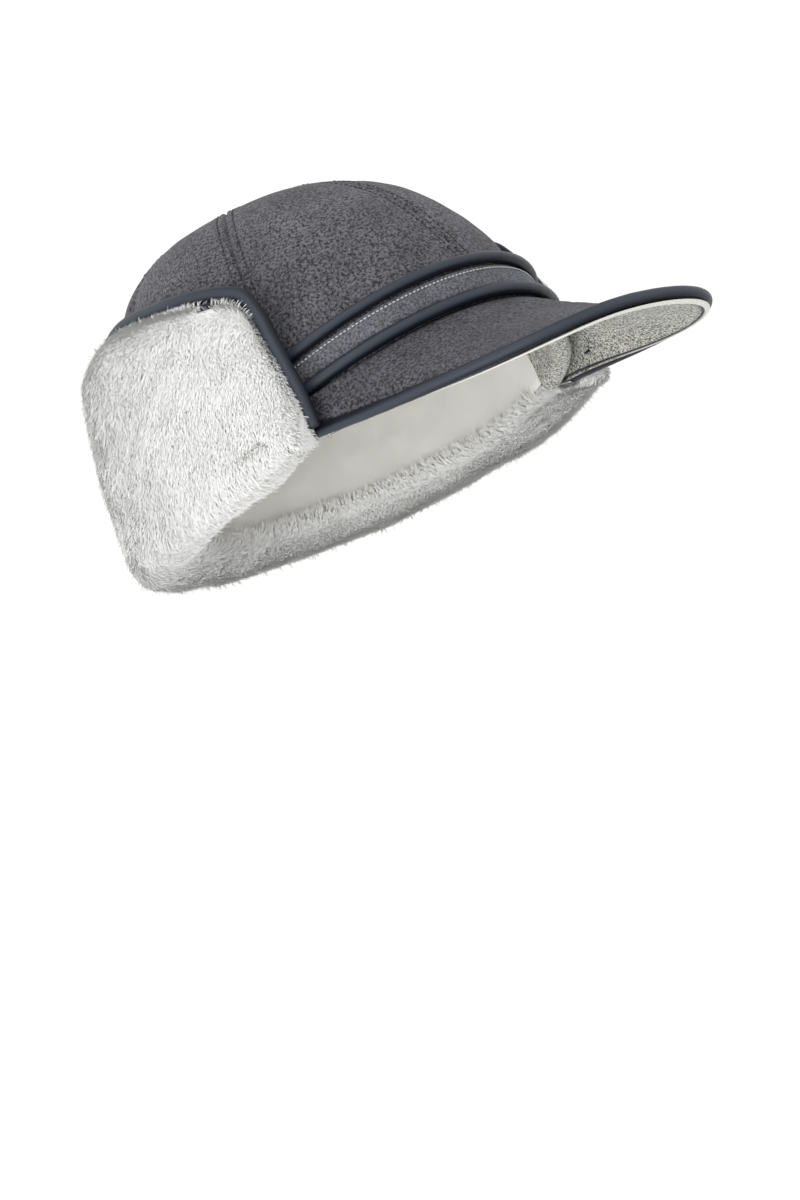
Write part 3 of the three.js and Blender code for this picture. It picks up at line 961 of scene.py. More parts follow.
@dataclass
class WoolField:
    """Fine blades of wool that grow from a grid: thin kites, widest near the tip."""

    count: int
    length: float
    width: float
    lean: float
    seed: int
    clump: float = 1.8
    pull: float = 0.08
    swirl: float = 14.0
    softness: float = 0.97
    wisps: float = 0.03
    widest: float = 0.7

    def scatter(self, rng: np.random.Generator, area: Array) -> Places:
        """Places drawn by the area that each point of the grid stands for."""
        cell = 0.25 * (area[:-1, :-1] + area[1:, :-1] + area[1:, 1:] + area[:-1, 1:])
        chances = np.cumsum(cell.ravel())
        picks = np.searchsorted(chances, rng.uniform(0, chances[-1], self.count))
        column, row = np.unravel_index(np.minimum(picks, cell.size - 1), cell.shape)
        return Places(column, row, rng.uniform(0, 1, (2, self.count)))

    def ways(self, rng: np.random.Generator, way: Array, flat: Array) -> Array:
        """The comb's directions, turned by slow and quick waves and a little at random."""
        waves = 0.7 * ripple(flat, 38, self.seed + 1) + 0.6 * ripple(flat, 11, self.seed + 2)
        turn = self.swirl * DEGREE * waves + rng.normal(0, 14 * DEGREE, self.count)
        cosine, sine = np.cos(turn), np.sin(turn)
        across = way[:, 0] * cosine - way[:, 1] * sine
        return np.stack([across, way[:, 0] * sine + way[:, 1] * cosine], -1)

    def grow(
        self,
        grid: Array,
        comb: Array | None = None,
        weight: Array | None = None,
        dark: Array | None = None,
    ) -> Skin:
        """Scatters blades over a grid and combs them.

        Places are drawn by area. A blade leans from the normal along the comb, which slow and
        quick waves turn. Its tip is pulled towards the nearest of a jittered set of clump
        points, at two sizes of clump. A few blades are longer wisps. The shading normals lie
        near the surface's own.

        Args:
            grid: points whose normals, columns' step crossed with rows' step, face outwards.
            comb: shares of the columns' and the rows' direction at each point.
            weight: density at each point.
            dark: painted shade at each point, how far the wool's colour falls to its roots'.

        Returns:
            The blades, with the value "tipward".
        """
        rng = np.random.default_rng(self.seed)
        around = np.gradient(grid, axis=0)
        down = np.gradient(grid, axis=1)
        area = np.linalg.norm(np.cross(around, down), axis=-1)
        if weight is not None:
            area = area * weight
        sample = self.scatter(rng, area).sample
        root = sample(grid)
        normal = unit(sample(unit(np.cross(around, down))))
        side = unit(sample(unit(around)))
        fall = unit(np.cross(normal, side))
        fall = fall * np.sign((fall * sample(unit(down))).sum(-1, keepdims=True))
        side = np.cross(fall, normal)
        steps = np.linalg.norm(around, axis=-1).mean(1)
        fallen = np.cumsum(np.linalg.norm(down, axis=-1), axis=1)
        flat = sample(pile(np.cumsum(steps)[:, None], fallen, 0.0))[:, :2]
        way = np.tile([0.0, 1.0], (self.count, 1)) if comb is None else sample(comb)[:, :2]
        way = self.ways(rng, way, flat)
        strength = np.clip(np.linalg.norm(way, axis=1), 0, 1)
        tuft, tone = self.clumps(flat, self.clump, self.seed + 3)
        lock, lock_tone = self.clumps(flat, self.clump * 3.1, self.seed + 4)
        length = self.length * rng.uniform(0.86, 1.06, self.count)
        length = length * (0.94 + 0.05 * tone + 0.06 * lock_tone)
        length = length * np.where(rng.uniform(0, 1, self.count) < self.wisps, 1.45, 1)
        tilt = (self.lean + rng.normal(0, 4.5, self.count) + 3 * (lock_tone - 0.5)) * DEGREE
        pull = np.clip(self.pull * (tuft + 0.6 * lock), -self.clump, self.clump)
        move = way * (length * np.sin(tilt) * strength)[:, None] + pull
        lift = length * (np.cos(tilt) + 0.2 * (1 - strength))
        tip = root + side * move[:, :1] + fall * move[:, 1:] + normal * lift[:, None]
        line = unit(tip - root)
        flatwise = unit(np.cross(line, normal))
        twist = rng.normal(0, 9 * DEGREE, self.count)[:, None]
        wide = unit(flatwise * np.cos(twist) + np.cross(line, flatwise) * np.sin(twist))
        wide = wide * (self.width * rng.uniform(0.75, 1.25, self.count) / 2)[:, None]
        face = unit(np.cross(tip - root, wide))
        facing = np.sign((face * normal).sum(-1, keepdims=True))
        middle = mix(root, tip, self.widest) + normal * 0.1 * length[:, None]
        left, right = middle - wide * facing, middle + wide * facing
        points = np.stack([root, left, right, tip], 1).reshape(-1, 3)
        soft = unit(mix(face * facing, normal, self.softness))
        start = (np.arange(self.count) * 4)[:, None, None]
        triangles = (start + np.array([[0, 1, 2], [3, 2, 1]])).reshape(-1, 3)
        seen = (np.cross(left - root, right - root) * normal).sum(-1)
        if np.median(seen) < 0:
            triangles = triangles[:, ::-1]
        shadow = 0.05 * (1 - tone) + 0.06 * (1 - lock_tone)
        # Painted shade: the root takes a lower value than the blade's middle and tip.
        value = np.stack([0.6 + 0 * tone, 0.94 - shadow, 0.94 - shadow, 1 - shadow], 1)
        # Painted shade along the crease: the values fall by the darkness there.
        if dark is not None:
            value = value * (1 - sample(dark))[:, None]
        return Skin(points, [triangles], {"tipward": value.ravel()}, np.repeat(soft, 4, axis=0))

    def clumps(self, flat: Array, size: float, seed: int) -> tuple[Array, Array]:
        """Nearest of a jittered grid of clump points.

        Args:
            flat: places on the surface in mm.
            size: mean distance between clump points.
            seed: seed of the jitter.

        Returns:
            The step from each place to its clump point, and the clump's tone from 0 to 1.
        """
        rng = np.random.default_rng(seed)
        jitter = rng.uniform(0, 1, (257, 263, 3))
        cell = np.floor(flat / size).astype(int)
        best = np.full(len(flat), np.inf)
        step = np.zeros_like(flat)
        tone = np.zeros(len(flat))
        for i in (-1, 0, 1):
            for j in (-1, 0, 1):
                near = cell + (i, j)
                found = jitter[near[:, 0] % 257, near[:, 1] % 263]
                move = (near + found[:, :2]) * size - flat
                distance = (move**2).sum(1)
                closer = distance < best
                best = np.where(closer, distance, best)
                step[closer] = move[closer]
                tone[closer] = found[closer, 2]
        return step, tone


@dataclass
class Strap:
    """The strap across the front: a strip of leather between two rolled pipings."""

    crown: Crown
    upper_radius: float = 2.8
    lower_radius: float = 3.1
    thickness: float = 2.0
    half_angle: float = 67.0
    upper_front: float = 44.9
    upper_drop: float = 25.5
    lower_front: float = 26.9
    lower_drop: float = 23.6
    strip_edge: float = 0.5
    stitch_share: float = 0.81

    def upper_height(self, angle: Array) -> Array:
        """Height of the upper piping's middle, in one sloping plane."""
        return self.upper_front - self.upper_drop * (1 - np.cos(angle))

    def lower_height(self, angle: Array) -> Array:
        """Height of the lower piping's middle, in one sloping plane."""
        return self.lower_front - self.lower_drop * (1 - np.cos(angle))

    def piping(self, height: Array, angle: Array, radius: float, seed: int) -> Skin:
        """Roll along the crown, a little uneven."""
        path = self.crown.off(angle, height, np.full_like(angle, radius + PIECE_LIFT))
        uneven = radius * (1 + 0.025 * ripple(path, 16, seed) + 0.012 * ripple(path, 5, seed + 1))
        return tube(path, self.crown.normal(angle, height), np.minimum(uneven, radius * 1.03), 16)

    def strip_points(self, angle: Array, share: Array, lift: Array) -> Array:
        """Points between the two pipings, lifted off the crown."""
        low = self.lower_height(angle) + self.lower_radius + 0.5 * GAP
        high = self.upper_height(angle) - self.upper_radius - 0.5 * GAP
        z = mix(low, high, share)
        return self.crown.off(angle, z, lift + 0 * z)

    def build(self, shop: Workshop) -> None:
        """Makes the pipings, the strip and the row of stitches under the upper piping."""
        half = self.half_angle * DEGREE
        angle = np.linspace(-half, half, 150)
        upper = self.piping(self.upper_height(angle), angle, self.upper_radius, 41)
        lower = self.piping(self.lower_height(angle), angle, self.lower_radius, 43)
        shop.piece("upper_piping_roll", upper, NAVY_ROLL, Slot.NAVY, "band_piping_upper")
        shop.piece("lower_piping_roll", lower, NAVY_ROLL, Slot.NAVY, "band_piping_lower")
        column = angle[:, None]
        share = (0.5 - 0.5 * np.cos(np.linspace(0, math.pi, 12)))[None]
        plain = self.strip_points(column, share, PIECE_LIFT)
        crest = (1 - np.abs(2 * share - 1) ** 5) ** 0.5
        lift = PIECE_LIFT + self.strip_edge + (self.thickness - self.strip_edge) * crest
        lift = lift - 0.7 * bell(share - self.stitch_share, 0.07) + 0.16 * ripple(plain, 15, 45)
        outer = self.strip_points(column, share, lift)
        shop.piece("strip_leather", slab(outer, plain), STRIP_SUEDE, Slot.STRIP, "band_strip")
        beside = np.full_like(angle, self.stitch_share)
        row = self.strip_points(angle, beside, PIECE_LIFT + self.thickness - 0.05)
        rows = [(row, self.crown.normal(angle, row[:, 2]))]
        skin = Stitching(pitch=2.15, share=0.74, radius=0.5).rows(rows)
        shop.piece("strip_stitches", skin, LIGHT_THREAD, Slot.STRIP)


@dataclass
class HeadBand:
    """Pale leather band that wraps the front of the rim and faces inwards."""

    crown: Crown
    strap: Strap
    half_angle: float = 62.0
    rise: float = 30.0
    below_piping: float = 8.5
    thickness: float = 0.9

    def grid(self, depth: float) -> Array:
        """Face of the band: down outside, round under the rim and up inside, at a depth.

        The profile runs through a short table of outward and downward distances from the rim,
        smoothed to a curve.
        """
        half = self.half_angle * DEGREE
        angle = np.linspace(-half, half, 110)
        rim = mix(self.crown.rim_back, self.crown.rim_front, self.front_share(angle))
        top = self.strap.lower_height(angle) - self.strap.lower_radius - self.below_piping
        table = [
            (0.5, top),
            (0.5, mix(top, rim, 0.6)),
            (0.4, rim + 0.5),
            (-1.6, rim - 1.6),
            (-6.2, rim - 1.8),
            (-8.4, rim + 0.6),
            (-8.6, rim + 0.4 * self.rise),
            (-9.4, rim + self.rise),
        ]
        rows = np.stack([self.crown.around(angle, z, np.full_like(angle, out)) for out, z in table])
        rows = smooth_path(rows.reshape(len(table), -1), 5)
        grid = rows.reshape(-1, len(angle), 3).transpose(1, 0, 2)
        normals = grid_normals(grid)
        facing = 1 if normals[len(angle) // 2, 0, 1] < 0 else -1
        return grid + normals * (facing * (0.5 * self.thickness - depth))

    def front_share(self, angle: Array) -> Array:
        """Share of the rim's rise at an angle."""
        base = self.crown.reach(angle, 0 * angle, 0)
        return np.maximum(0, (np.cos(angle) * base - self.crown.apex_setback) / self.crown.half_length)

    def build(self, shop: Workshop) -> None:
        """Makes the band and the row of stitches along its outer edge."""
        outer, inner = self.grid(0.0), self.grid(self.thickness)
        skin = slab(outer, inner).marked("margin", 0.0).marked("groove", 0.0)
        shop.piece("head_band_leather", skin, PALE_SUEDE, Slot.PALE)
        rows = [(outer[:, 2], unit(outer[:, 2] - inner[:, 2]))]
        skin = Stitching(pitch=2.4, share=0.6, radius=0.24, dip=0.3).rows(rows)
        shop.piece("head_band_stitches", skin, DARK_THREAD, Slot.PALE)


@dataclass
class Peak:
    """The peak: a leather upper, a pale underside and a rolled binding between them."""

    crown: Crown
    strap: Strap
    half_width: float = 78.9
    reach: float = 133.7
    corner_setback: float = 54.0
    corner_angle: float = 61.0
    arch: float = 10.8
    fall: float = 14.7
    corner_height: float = -7.7
    sag: float = 4.5
    power: float = 3.32
    flare: float = 8.0
    flare_power: float = 6.0
    root_front: float = 1.4
    root_side: float = 0.4
    root_fade: float = 0.35
    tuck: float = 2.2
    upper: float = 2.4
    under: float = 1.2
    binding: float = 2.9
    margin_side: float = 1.3
    margin_tip: float = 5.6
    tucked: float = 2.4
    stitch_side: float = 9.5
    eyelet_radius: float = 1.5
    eyelet_roll: float = 0.5
    slant: float = 0.92

    @property
    def thickness(self) -> float:
        """Both plates and the space between them."""
        return self.upper + 2 * GAP + self.under

    @property
    def hem(self) -> float:
        """Width of the edge that the binding takes."""
        return 2 * self.binding + 0.35

    def edge(self, across: Array) -> Array:
        """Free edge, a superellipse in plan that arches and falls towards the tip."""
        turn = across * math.pi / 2
        sine, cosine = np.sin(turn), np.abs(np.cos(turn))
        x = -self.half_width * np.sign(sine) * np.abs(sine) ** (2 / self.power)
        ahead = cosine ** (2 / self.power)
        arch = self.arch * (1 - (x / self.half_width) ** 2)
        flare = np.sign(x) * self.flare * (1 - ahead) ** self.flare_power
        z = self.corner_height + arch - self.fall * ahead
        return pile(x + flare, -self.corner_setback - self.reach * ahead, z)

    def root(self, across: Array, lower: bool) -> Array:
        """Where the peak's upper or lower face meets the crown, close under the lower piping."""
        angle = across * self.corner_angle * DEGREE
        side = across**4
        out = 2 * GAP + side * (self.thickness + GAP)
        clear = self.strap.lower_radius + 2 * GAP
        inward = np.maximum(0, self.strap.lower_radius + PIECE_LIFT - out)
        drop = np.maximum(self.tuck, np.sqrt(np.maximum(0, clear**2 - inward**2)))
        top = self.strap.lower_height(angle) - drop
        if not lower:
            return self.crown.around(angle, top, out)
        share = mix(self.root_front, self.root_side, side)
        return self.crown.around(angle, top - share * self.thickness, 2 * GAP)

    def face(self, along: Array, across: Array) -> Array:
        """Upper face: straight from root to edge, hollowed by a parabola."""
        sag = 4 * along * (1 - along) * self.sag * (1 - across**2)
        points = mix(self.root(across, False), self.edge(across), along[..., None])
        return points - pile(0 * sag, 0 * sag, sag)

    def through(self, along: Array, across: Array) -> Array:
        """Step from the upper face down through the whole thickness."""
        step = 0.01
        a0, c0 = np.clip(along, step, 1 - step), np.clip(across, step - 1, 1 - step)
        forward = self.face(a0 + step, c0) - self.face(a0 - step, c0)
        sideways = self.face(a0, c0 + step) - self.face(a0, c0 - step)
        way = unit(np.cross(forward, sideways))
        way = way * np.where(way[..., 2:] > 0, -1, 1) * self.thickness
        root = self.root(across, True) - self.root(across, False)
        return mix(root, way, ease(along, 0, self.root_fade)[..., None])

    def point(self, along: Array, across: Array, depth: Array) -> Array:
        """Point at a depth below the upper face."""
        share = np.asarray(depth / self.thickness)[..., None]
        return self.face(along, across) + self.through(along, across) * share

    def edge_share(self, across: Array, distance: Array) -> Array:
        """Share of the way from the edge to the crown that covers a distance square to it."""
        step = 0.01
        place = np.clip(across, step - 1, 1 - step)
        tangent = unit(self.edge(place + step) - self.edge(place - step))
        line = self.edge(across) - self.root(across, False)
        return distance / np.linalg.norm(np.cross(line, tangent), axis=-1)

    def span(self, across: Array) -> Array:
        """Length of the upper face from the crown to the edge."""
        return np.linalg.norm(self.edge(across) - self.root(across, False), axis=-1)

    def spread(self, count: int) -> Array:
        """Places across that lie nearly even along the edge."""
        fine = np.linspace(-1, 1, 4001)
        chords = np.linalg.norm(np.diff(self.edge(fine), axis=0), axis=1)
        length = np.concatenate([[0], np.cumsum(chords)])
        return np.interp(np.linspace(0, length[-1], count), length, fine)

    def upper_face(self, share: Array, across: Array) -> Array:
        """Upper face up to the binding, with slack near the crown and a dent for the stitches.

        Args:
            share: places from the crown at 0 to the binding at 1.
            across: places across, of the same shape.

        Returns:
            The points.
        """
        along = share * (1 - self.edge_share(across, self.hem))
        plain = self.point(along, across, 0 * along)
        inward = (1 - along) * self.span(across) * self.slant - 2 * self.binding
        near = 0.55 * bell(along - 0.12, 0.22)
        wave = ripple(plain, 26, 51) * 0.45 + ripple(plain, 8, 52) * near
        lift = wave * ease(along, 0, 0.15) * (1 - ease(share, 0.88, 1))
        lift = lift - 0.35 * bell(inward - self.stitch_side, 0.9) - 0.9 * bell(inward, 1.1)
        return self.point(along, across, -lift)

    def upper_skin(self) -> Skin:
        """Upper plate, closed below by a plain face."""
        across = self.spread(150)[:, None] + np.zeros(40)
        share = (np.linspace(0, 1, 40) ** 0.9)[None] + 0 * across
        along = share * (1 - self.edge_share(across, self.hem))
        lower = self.point(along, across, self.upper + 0 * along)
        return slab(self.upper_face(share, across), lower)

    def upper_row(self) -> Array:
        """Path of the stitch row on the upper face."""
        across = np.linspace(-0.96, 0.96, 420)
        along = 1 - (self.stitch_side + 2 * self.binding) / (self.slant * self.span(across))
        share = along / (1 - self.edge_share(across, self.hem))
        return self.upper_face(np.clip(share, 0.1, 1), across)

    def margin(self, across: Array) -> Array:
        """Width of the margin under the edge that takes the painted highlight, widest at the tip."""
        ahead = np.cos(across * math.pi / 2) ** 6
        return mix(self.margin_side, self.margin_tip, ahead)

    def under_skin(self) -> Skin:
        """Under plate with a groove of painted shade where the margin of painted highlight starts, and
        a rounded outer edge.
        """
        across = self.spread(150)[:, None]
        share = (1 - (1 - np.linspace(0, 1, 62)) ** 1.9)[None]
        across = across + 0 * share
        step = self.edge_share(across, np.ones_like(across))
        tuck = self.tucked * (1 - np.cos(across * math.pi / 2) ** 4)
        along = share * (1 - step * tuck)
        inward = (1 - along) / step - tuck
        width = self.margin(across)
        groove = bell(inward - width - 0.5, 0.9)
        plain = self.point(along, across, self.thickness + 0 * along)
        wave = ripple(plain, 22, 61) * 0.18
        edge = 1 - np.sqrt(np.clip((1 - share) / step / 1.4, 0, 1))
        swell = 0.35 * ease(inward, 0, width.max()) * (1 - ease(inward, 4, 9))
        depth = self.thickness - 0.75 * groove - 0.7 * edge + wave * ease(inward, 3, 12)
        depth = depth + swell * (inward < width)
        outer = self.point(along, across, depth)
        inner = self.point(along, across, self.upper + 2 * GAP + 0 * along)
        # Painted highlight on the margin and painted shade in the groove, as the values "margin" and
        # "groove".
        light = (1 - ease(inward - width, -0.35, 0.35)) * ease(1 - np.abs(across), 0.03, 0.2)
        shadow = bell(inward - width - 0.5, 0.85)
        return slab(outer, inner, {"margin": light, "groove": shadow})

    def binding_skin(self) -> Skin:
        """Roll along the free edge, above the gap between the plates."""
        across = self.spread(200)
        along = 1 - self.edge_share(across, np.full_like(across, self.binding))
        path = self.point(along, across, np.full_like(across, self.upper - self.binding))
        ahead = unit(self.edge(across) - self.root(across, False))
        uneven = self.binding * (1 + 0.02 * ripple(path, 14, 71) + 0.01 * ripple(path, 4, 72))
        # The crest, where the roll's painted highlight goes, faces ahead and up.
        ups = ahead - 0.6 * unit(self.through(along, across))
        return tube(path, ups, np.minimum(uneven, self.binding * 1.03))

    def build(self, shop: Workshop) -> None:
        """Makes the plates, the binding, the stitches and the eyelets."""
        shop.piece("peak_top_leather", self.upper_skin(), PEAK_SUEDE, Slot.GREY, "peak_upper")
        shop.piece("peak_under_leather", self.under_skin(), PALE_SUEDE, Slot.PALE, "peak_under")
        shop.piece("peak_binding_roll", self.binding_skin(), NAVY_ROLL, Slot.NAVY, "peak_binding")
        row = self.upper_row() + [0, 0, 0.12]
        rows = [(row, np.tile([0, 0, 1.0], (len(row), 1)))]
        top = Stitching(pitch=2.7, share=0.66, radius=0.3, dip=0.3).rows(rows)
        shop.piece("peak_top_stitches", top, DARK_THREAD, Slot.GREY)
        low = Stitching(pitch=1.9, share=0.6, radius=0.24, dip=0.3).rows(self.under_rows())
        shop.piece("peak_under_stitches", low, DARK_THREAD, Slot.PALE)
        eyelets = join([self.eyelet(-1), self.eyelet(1)])
        shop.piece("peak_under_eyelets", eyelets, NAVY_ROLL, Slot.NAVY)

    def under_rows(self) -> list[tuple[Array, Array]]:
        """Stitch rows at both rear corners of the underside: an arc and two that run together.

        Each runs through a short table of places across and along.
        """
        tables = (
            ((0.6, 0.07), (0.685, 0.125), (0.73, 0.225), (0.83, 0.365), (0.885, 0.44)),
            ((0.93, 0.53), (0.945, 0.575), (0.97, 0.7), (0.988, 0.84)),
            ((0.93, 0.6), (0.945, 0.705), (0.965, 0.81), (0.98, 0.9)),
        )
        rows = []
        for table in tables:
            curve = smooth_path(np.array(table), 12)
            depth = np.full(len(curve), self.thickness + 0.1)
            for side in (-1, 1):
                path = self.point(curve[:, 1], side * curve[:, 0], depth)
                rows.append((path, np.tile([0, 0, -1.0], (len(path), 1))))
        return rows

    def eyelet(self, side: int) -> Skin:
        """Small rolled ring on the underside at a rear corner."""
        turn = np.linspace(0, TURN, 25)
        along, across, depth = np.array([[0.46], [side * 0.89], [self.thickness + 0.1]])
        path = self.point(along, across, depth)
        path = path + self.eyelet_radius * pile(np.cos(turn), np.sin(turn), 0 * turn)
        return tube(path, np.tile([0, 0, -1.0], (len(path), 1)), self.eyelet_roll, 8)


@dataclass
class Flap:
    """The ear and neck flap, folded up: leather behind, deep wool outside, a rolled binding."""

    crown: Crown
    front_angle: float = 63.7
    front_height: float = 58.0
    top_height: float = 86.5
    corner_angle: float = 45.0
    corner_power: float = 0.45
    leather: float = 2.0
    wool_gap: float = 2 * GAP
    bend: float = 3.0
    stand_front: float = 14.0
    stand_bottom: float = 9.0
    stand_top: float = 5.0
    stand_angle: float = 40.0
    fold_least: float = 1.5
    fold_depth: float = 11.0
    fold_angle: float = 60.0
    fold_power: float = 0.6
    fold_rise: float = 0.55
    fold_inner: float = 0.45
    outer_bottom: float = 27.5
    outer_top: float = 20.5
    wool_least: float = 7.0
    wool_top: float = 2.0
    top_round: float = 12.0
    front_round: float = 14.0
    front_share: float = 0.3
    binding: float = 3.5
    corner_trim: float = 2.0
    pile_depth: float = 2.9
    end_columns: int = 5
    end_bulge: float = 1.6
    crease_start: float = 14.0
    crease_end: float = 27.0
    crease_top: float = 72.3
    crease_low: float = 79.6
    crease_depth: float = 2.2
    corner_back: float = 9.0
    back_reach: float = 16.0
    back_start: float = 45.0
    back_full: float = 75.0
    corner_lift: float = 4.5
    lift_reach: float = 24.0
    lift_top: float = 36.0
    tab_front: float = 16.4
    tab_angle: float = 71.5
    tab_height: float = 69.6
    tab_half_angle: float = 2.035
    draw_angle: float = 16.0
    drawn_wool: float = 2.0
    drawn_leather: float = 3.0
    wool_columns: int = 420
    crest_rows: int = 12
    wall_rows: int = 54
    fold_rows: int = 34
    level_rows: int = 60
    back_rows: int = 30
    calm_edge: float = 16.0
    hidden_start: float = 118.0
    hidden_full: float = 140.0
    blades: int = 65000
    blade_length: float = 5.9
    blade_width: float = 0.33
    blade_lean: float = 60.0

    @property
    def foot(self) -> float:
        """Height of the leather's upper face under the rim."""
        return self.crown.rim_back - GAP

    @property
    def front(self) -> float:
        """Angle of the front edges."""
        return self.front_angle * DEGREE

    @property
    def skin_depth(self) -> float:
        """From the leather's inner face to the wool's root."""
        return self.leather + self.wool_gap

    def columns(self) -> Array:
        """Angles of the wool's columns, crowded a little towards the front edges by a sine."""
        even = np.linspace(0, 1, self.wool_columns)
        return mix(self.front, TURN - self.front, even - 0.02 * np.sin(2 * TURN * even))[:, None]

    def from_front(self, angle: Array) -> Array:
        """Angle from the nearer front edge."""
        return np.abs(np.arctan2(np.sin(angle), np.cos(angle))) - self.front

    def lifted(self, points: Array) -> Array:
        """Points with the flap's lower front corners drawn up, less with distance and height."""
        turned = np.abs(np.arctan2(-points[..., 0], -points[..., 1]))
        away = (turned - self.front) * self.crown.mean_radius
        share = bell(np.maximum(away, 0), self.lift_reach)
        share = share * (1 - ease(points[..., 2], self.foot, self.lift_top))
        return points + self.corner_lift * share[..., None] * [0, 0, 1]

    def inner_end(self, angle: Array, drawn: float, full: float) -> Array:
        """Where the fold's inner end lies: drawn outwards near the front edges."""
        return mix(drawn, full, ease(self.from_front(angle), 0, self.draw_angle * DEGREE))

    def edge_height(self, angle: Array) -> Array:
        """Height of the leather's free edge: it rises from the front by a power of the angle."""
        share = np.clip(self.from_front(angle) / (self.corner_angle * DEGREE), 0, 1)
        return mix(self.front_height, self.top_height, share**self.corner_power)

    def stand(self, angle: Array, z: Array) -> Array:
        """How far the leather stands off the crown."""
        side = mix(self.stand_bottom, self.stand_top, np.clip(z / self.top_height, 0, 1))
        share = ease(self.from_front(angle), 0, self.stand_angle * DEGREE)
        return mix(self.stand_front, side, share)

    def fold_point(self, angle: Array, turn: Array, depth: float) -> Array:
        """Point of the leather's fold: level under the rim, then a quarter round upwards."""
        start = self.stand(angle, 0 * angle) - self.bend
        low = self.inner_end(angle, self.drawn_leather, -self.leather)
        flat = self.crown.around(angle, self.foot - depth + 0 * turn, mix(low, start, 2 * turn))
        round_ = (turn - 0.5) * math.pi
        radius = self.bend + depth
        z = self.foot + self.bend - radius * np.cos(round_)
        bent = self.crown.around(angle, z, start + radius * np.sin(round_))
        return np.where((turn < 0.5)[..., None], flat, bent)

    def leather_skin(self) -> Skin:
        """Leather of the flap, a slab from under the rim up to the free edge."""
        angle = np.linspace(self.front, TURN - self.front, 140)[:, None]
        turn = np.linspace(0, 1, 12)[None]
        share = np.linspace(0, 1, 16)[None, 1:]
        faces = []
        for depth in (self.leather, 0.0):
            fold = self.fold_point(angle + 0 * turn, turn + 0 * angle, depth)
            z = mix(self.foot + self.bend, self.edge_height(angle), share)
            wall = self.crown.around(angle, z, self.stand(angle, z) + depth)
            faces.append(self.lifted(np.concatenate([fold, wall], axis=1)))
        return slab(*faces)

    def fold_drop(self, turn: Array, full: Array) -> Array:
        """How far the wool hangs under the rim, fuller towards the outside."""
        rise = np.sin(turn)
        least = np.minimum(1, rise / self.fold_rise) * (self.skin_depth + self.fold_least)
        return least + full * rise * mix(self.fold_inner, 1, (1 - np.cos(turn)) / 2)

    def wool_out(self, angle: Array, z: Array, fullness: Array) -> Array:
        """How far the wool's outer face stands off the crown."""
        skin = self.stand(angle, z) + self.skin_depth
        side = mix(self.outer_bottom, self.outer_top, np.clip(z / self.top_height, 0, 1))
        return mix(skin, np.maximum(skin + self.wool_least, side), fullness)

    def plain_wool(self, angle: Array, front: Array) -> Array:
        """Smooth outer face of the wool's body, sunk below the full form by the pile's depth.

        The top is a quarter round, the wall is straight, and the fold is half a round from the
        outer face to the inner side.

        Args:
            angle: angle of each column.
            front: distance of each column from the nearer front edge.

        Returns:
            The grid, from the free edge over the wall and round the fold.
        """
        sink = self.pile_depth
        share = np.clip(front / self.front_round, 0, 1)
        fullness = mix(self.front_share, 1, np.sqrt(1 - (1 - share) ** 2))
        top = self.edge_height(angle) - 2 * GAP - self.top_round
        turn = np.linspace(math.pi / 2, 0, self.crest_rows)[None]
        z = top + (self.top_round - 0.5 * sink) * np.sin(turn)
        skin = self.stand(angle, z) + self.skin_depth + self.wool_top
        full = self.wool_out(angle, z, fullness) - sink * fullness
        crest = self.crown.around(angle, z, mix(np.minimum(skin, full), full, np.cos(turn)))
        z = mix(top, self.foot, np.linspace(0, 1, self.wall_rows)[None, 1:])
        wall = self.crown.around(angle, z, self.wool_out(angle, z, fullness) - sink * fullness)
        turn = np.linspace(math.pi, 0, self.fold_rows)[None, 1:]
        outer = self.wool_out(angle, 0 * angle, fullness) - sink * fullness
        half = (outer - self.inner_end(angle, self.drawn_wool, -self.crown.wall)) / 2
        share = np.clip(self.from_front(angle) / (self.fold_angle * DEGREE), 0, 1)
        full = np.maximum(share**self.fold_power * self.fold_depth - 0.6 * sink, 0)
        z = self.foot - self.fold_drop(turn, full)
        fold = self.crown.around(angle, z, outer - half * (1 + np.cos(turn)))
        return self.lifted(np.concatenate([crest, wall, fold], axis=1))

    def wool_grid(self) -> tuple[Array, Array, Array]:
        """Outer face of the wool's body: the plain one with slow waves and a dent at the crease.

        The lower front corners are drawn back along the columns.

        Returns:
            The grid, the distance from the nearer front edge, and the distance from the top.
        """
        angle = self.columns()
        radius = self.crown.mean_radius + self.outer_top
        front = np.maximum(self.from_front(angle) * radius, 0)
        grid = self.plain_wool(angle, front)
        steps = np.linalg.norm(np.diff(grid, axis=1), axis=-1)
        fallen = np.pad(np.cumsum(steps, axis=1), ((0, 0), (1, 0)))
        normals = grid_normals(grid)
        outward = outward_normals(grid[:, :self.level_rows], np.zeros(3))
        normals = normals * np.sign((normals[:, :self.level_rows] * outward).sum())
        calm = ease(front, 2, self.calm_edge) * ease(fallen, 3, self.calm_edge)
        waves = 0.55 * ripple(grid, 34, 81) + 0.25 * ripple(grid, 13, 82)
        last = grid.shape[1] - 1
        inside = ease(np.arange(last + 1)[None] + 0.0, last - 5, last + 2)
        away, near = self.crease(front, fallen)
        dent = self.crease_depth * near * (1 - 0.6 * np.abs(away))
        grid = grid + normals * (waves * calm * (1 - inside) - dent)[..., None]
        side = np.where(angle < math.pi, 1.0, -1.0)
        low = ease(fallen, self.back_start, self.back_full)
        backward = self.corner_back * np.exp(-front / self.back_reach) * low * side
        along = unit(np.gradient(grid, axis=0))
        return grid + along * backward[..., None], front + 0 * fallen, fallen

    def back_grid(self, rows: int) -> Array:
        """Outside of the leather behind the wool, at as many rows as the wool's face."""
        angle = self.columns()
        away = self.leather + 0.15
        share = np.linspace(1, 0, rows - self.back_rows)[None]
        z = mix(self.foot + self.bend, self.edge_height(angle) - 2 * GAP, share)
        wall = self.crown.around(angle, z, self.stand(angle, z) + away)
        turn = np.linspace(1, 0, self.back_rows)[None]
        fold = self.fold_point(angle + 0 * turn, turn + 0 * angle, away)
        return self.lifted(np.concatenate([wall, fold], axis=1))

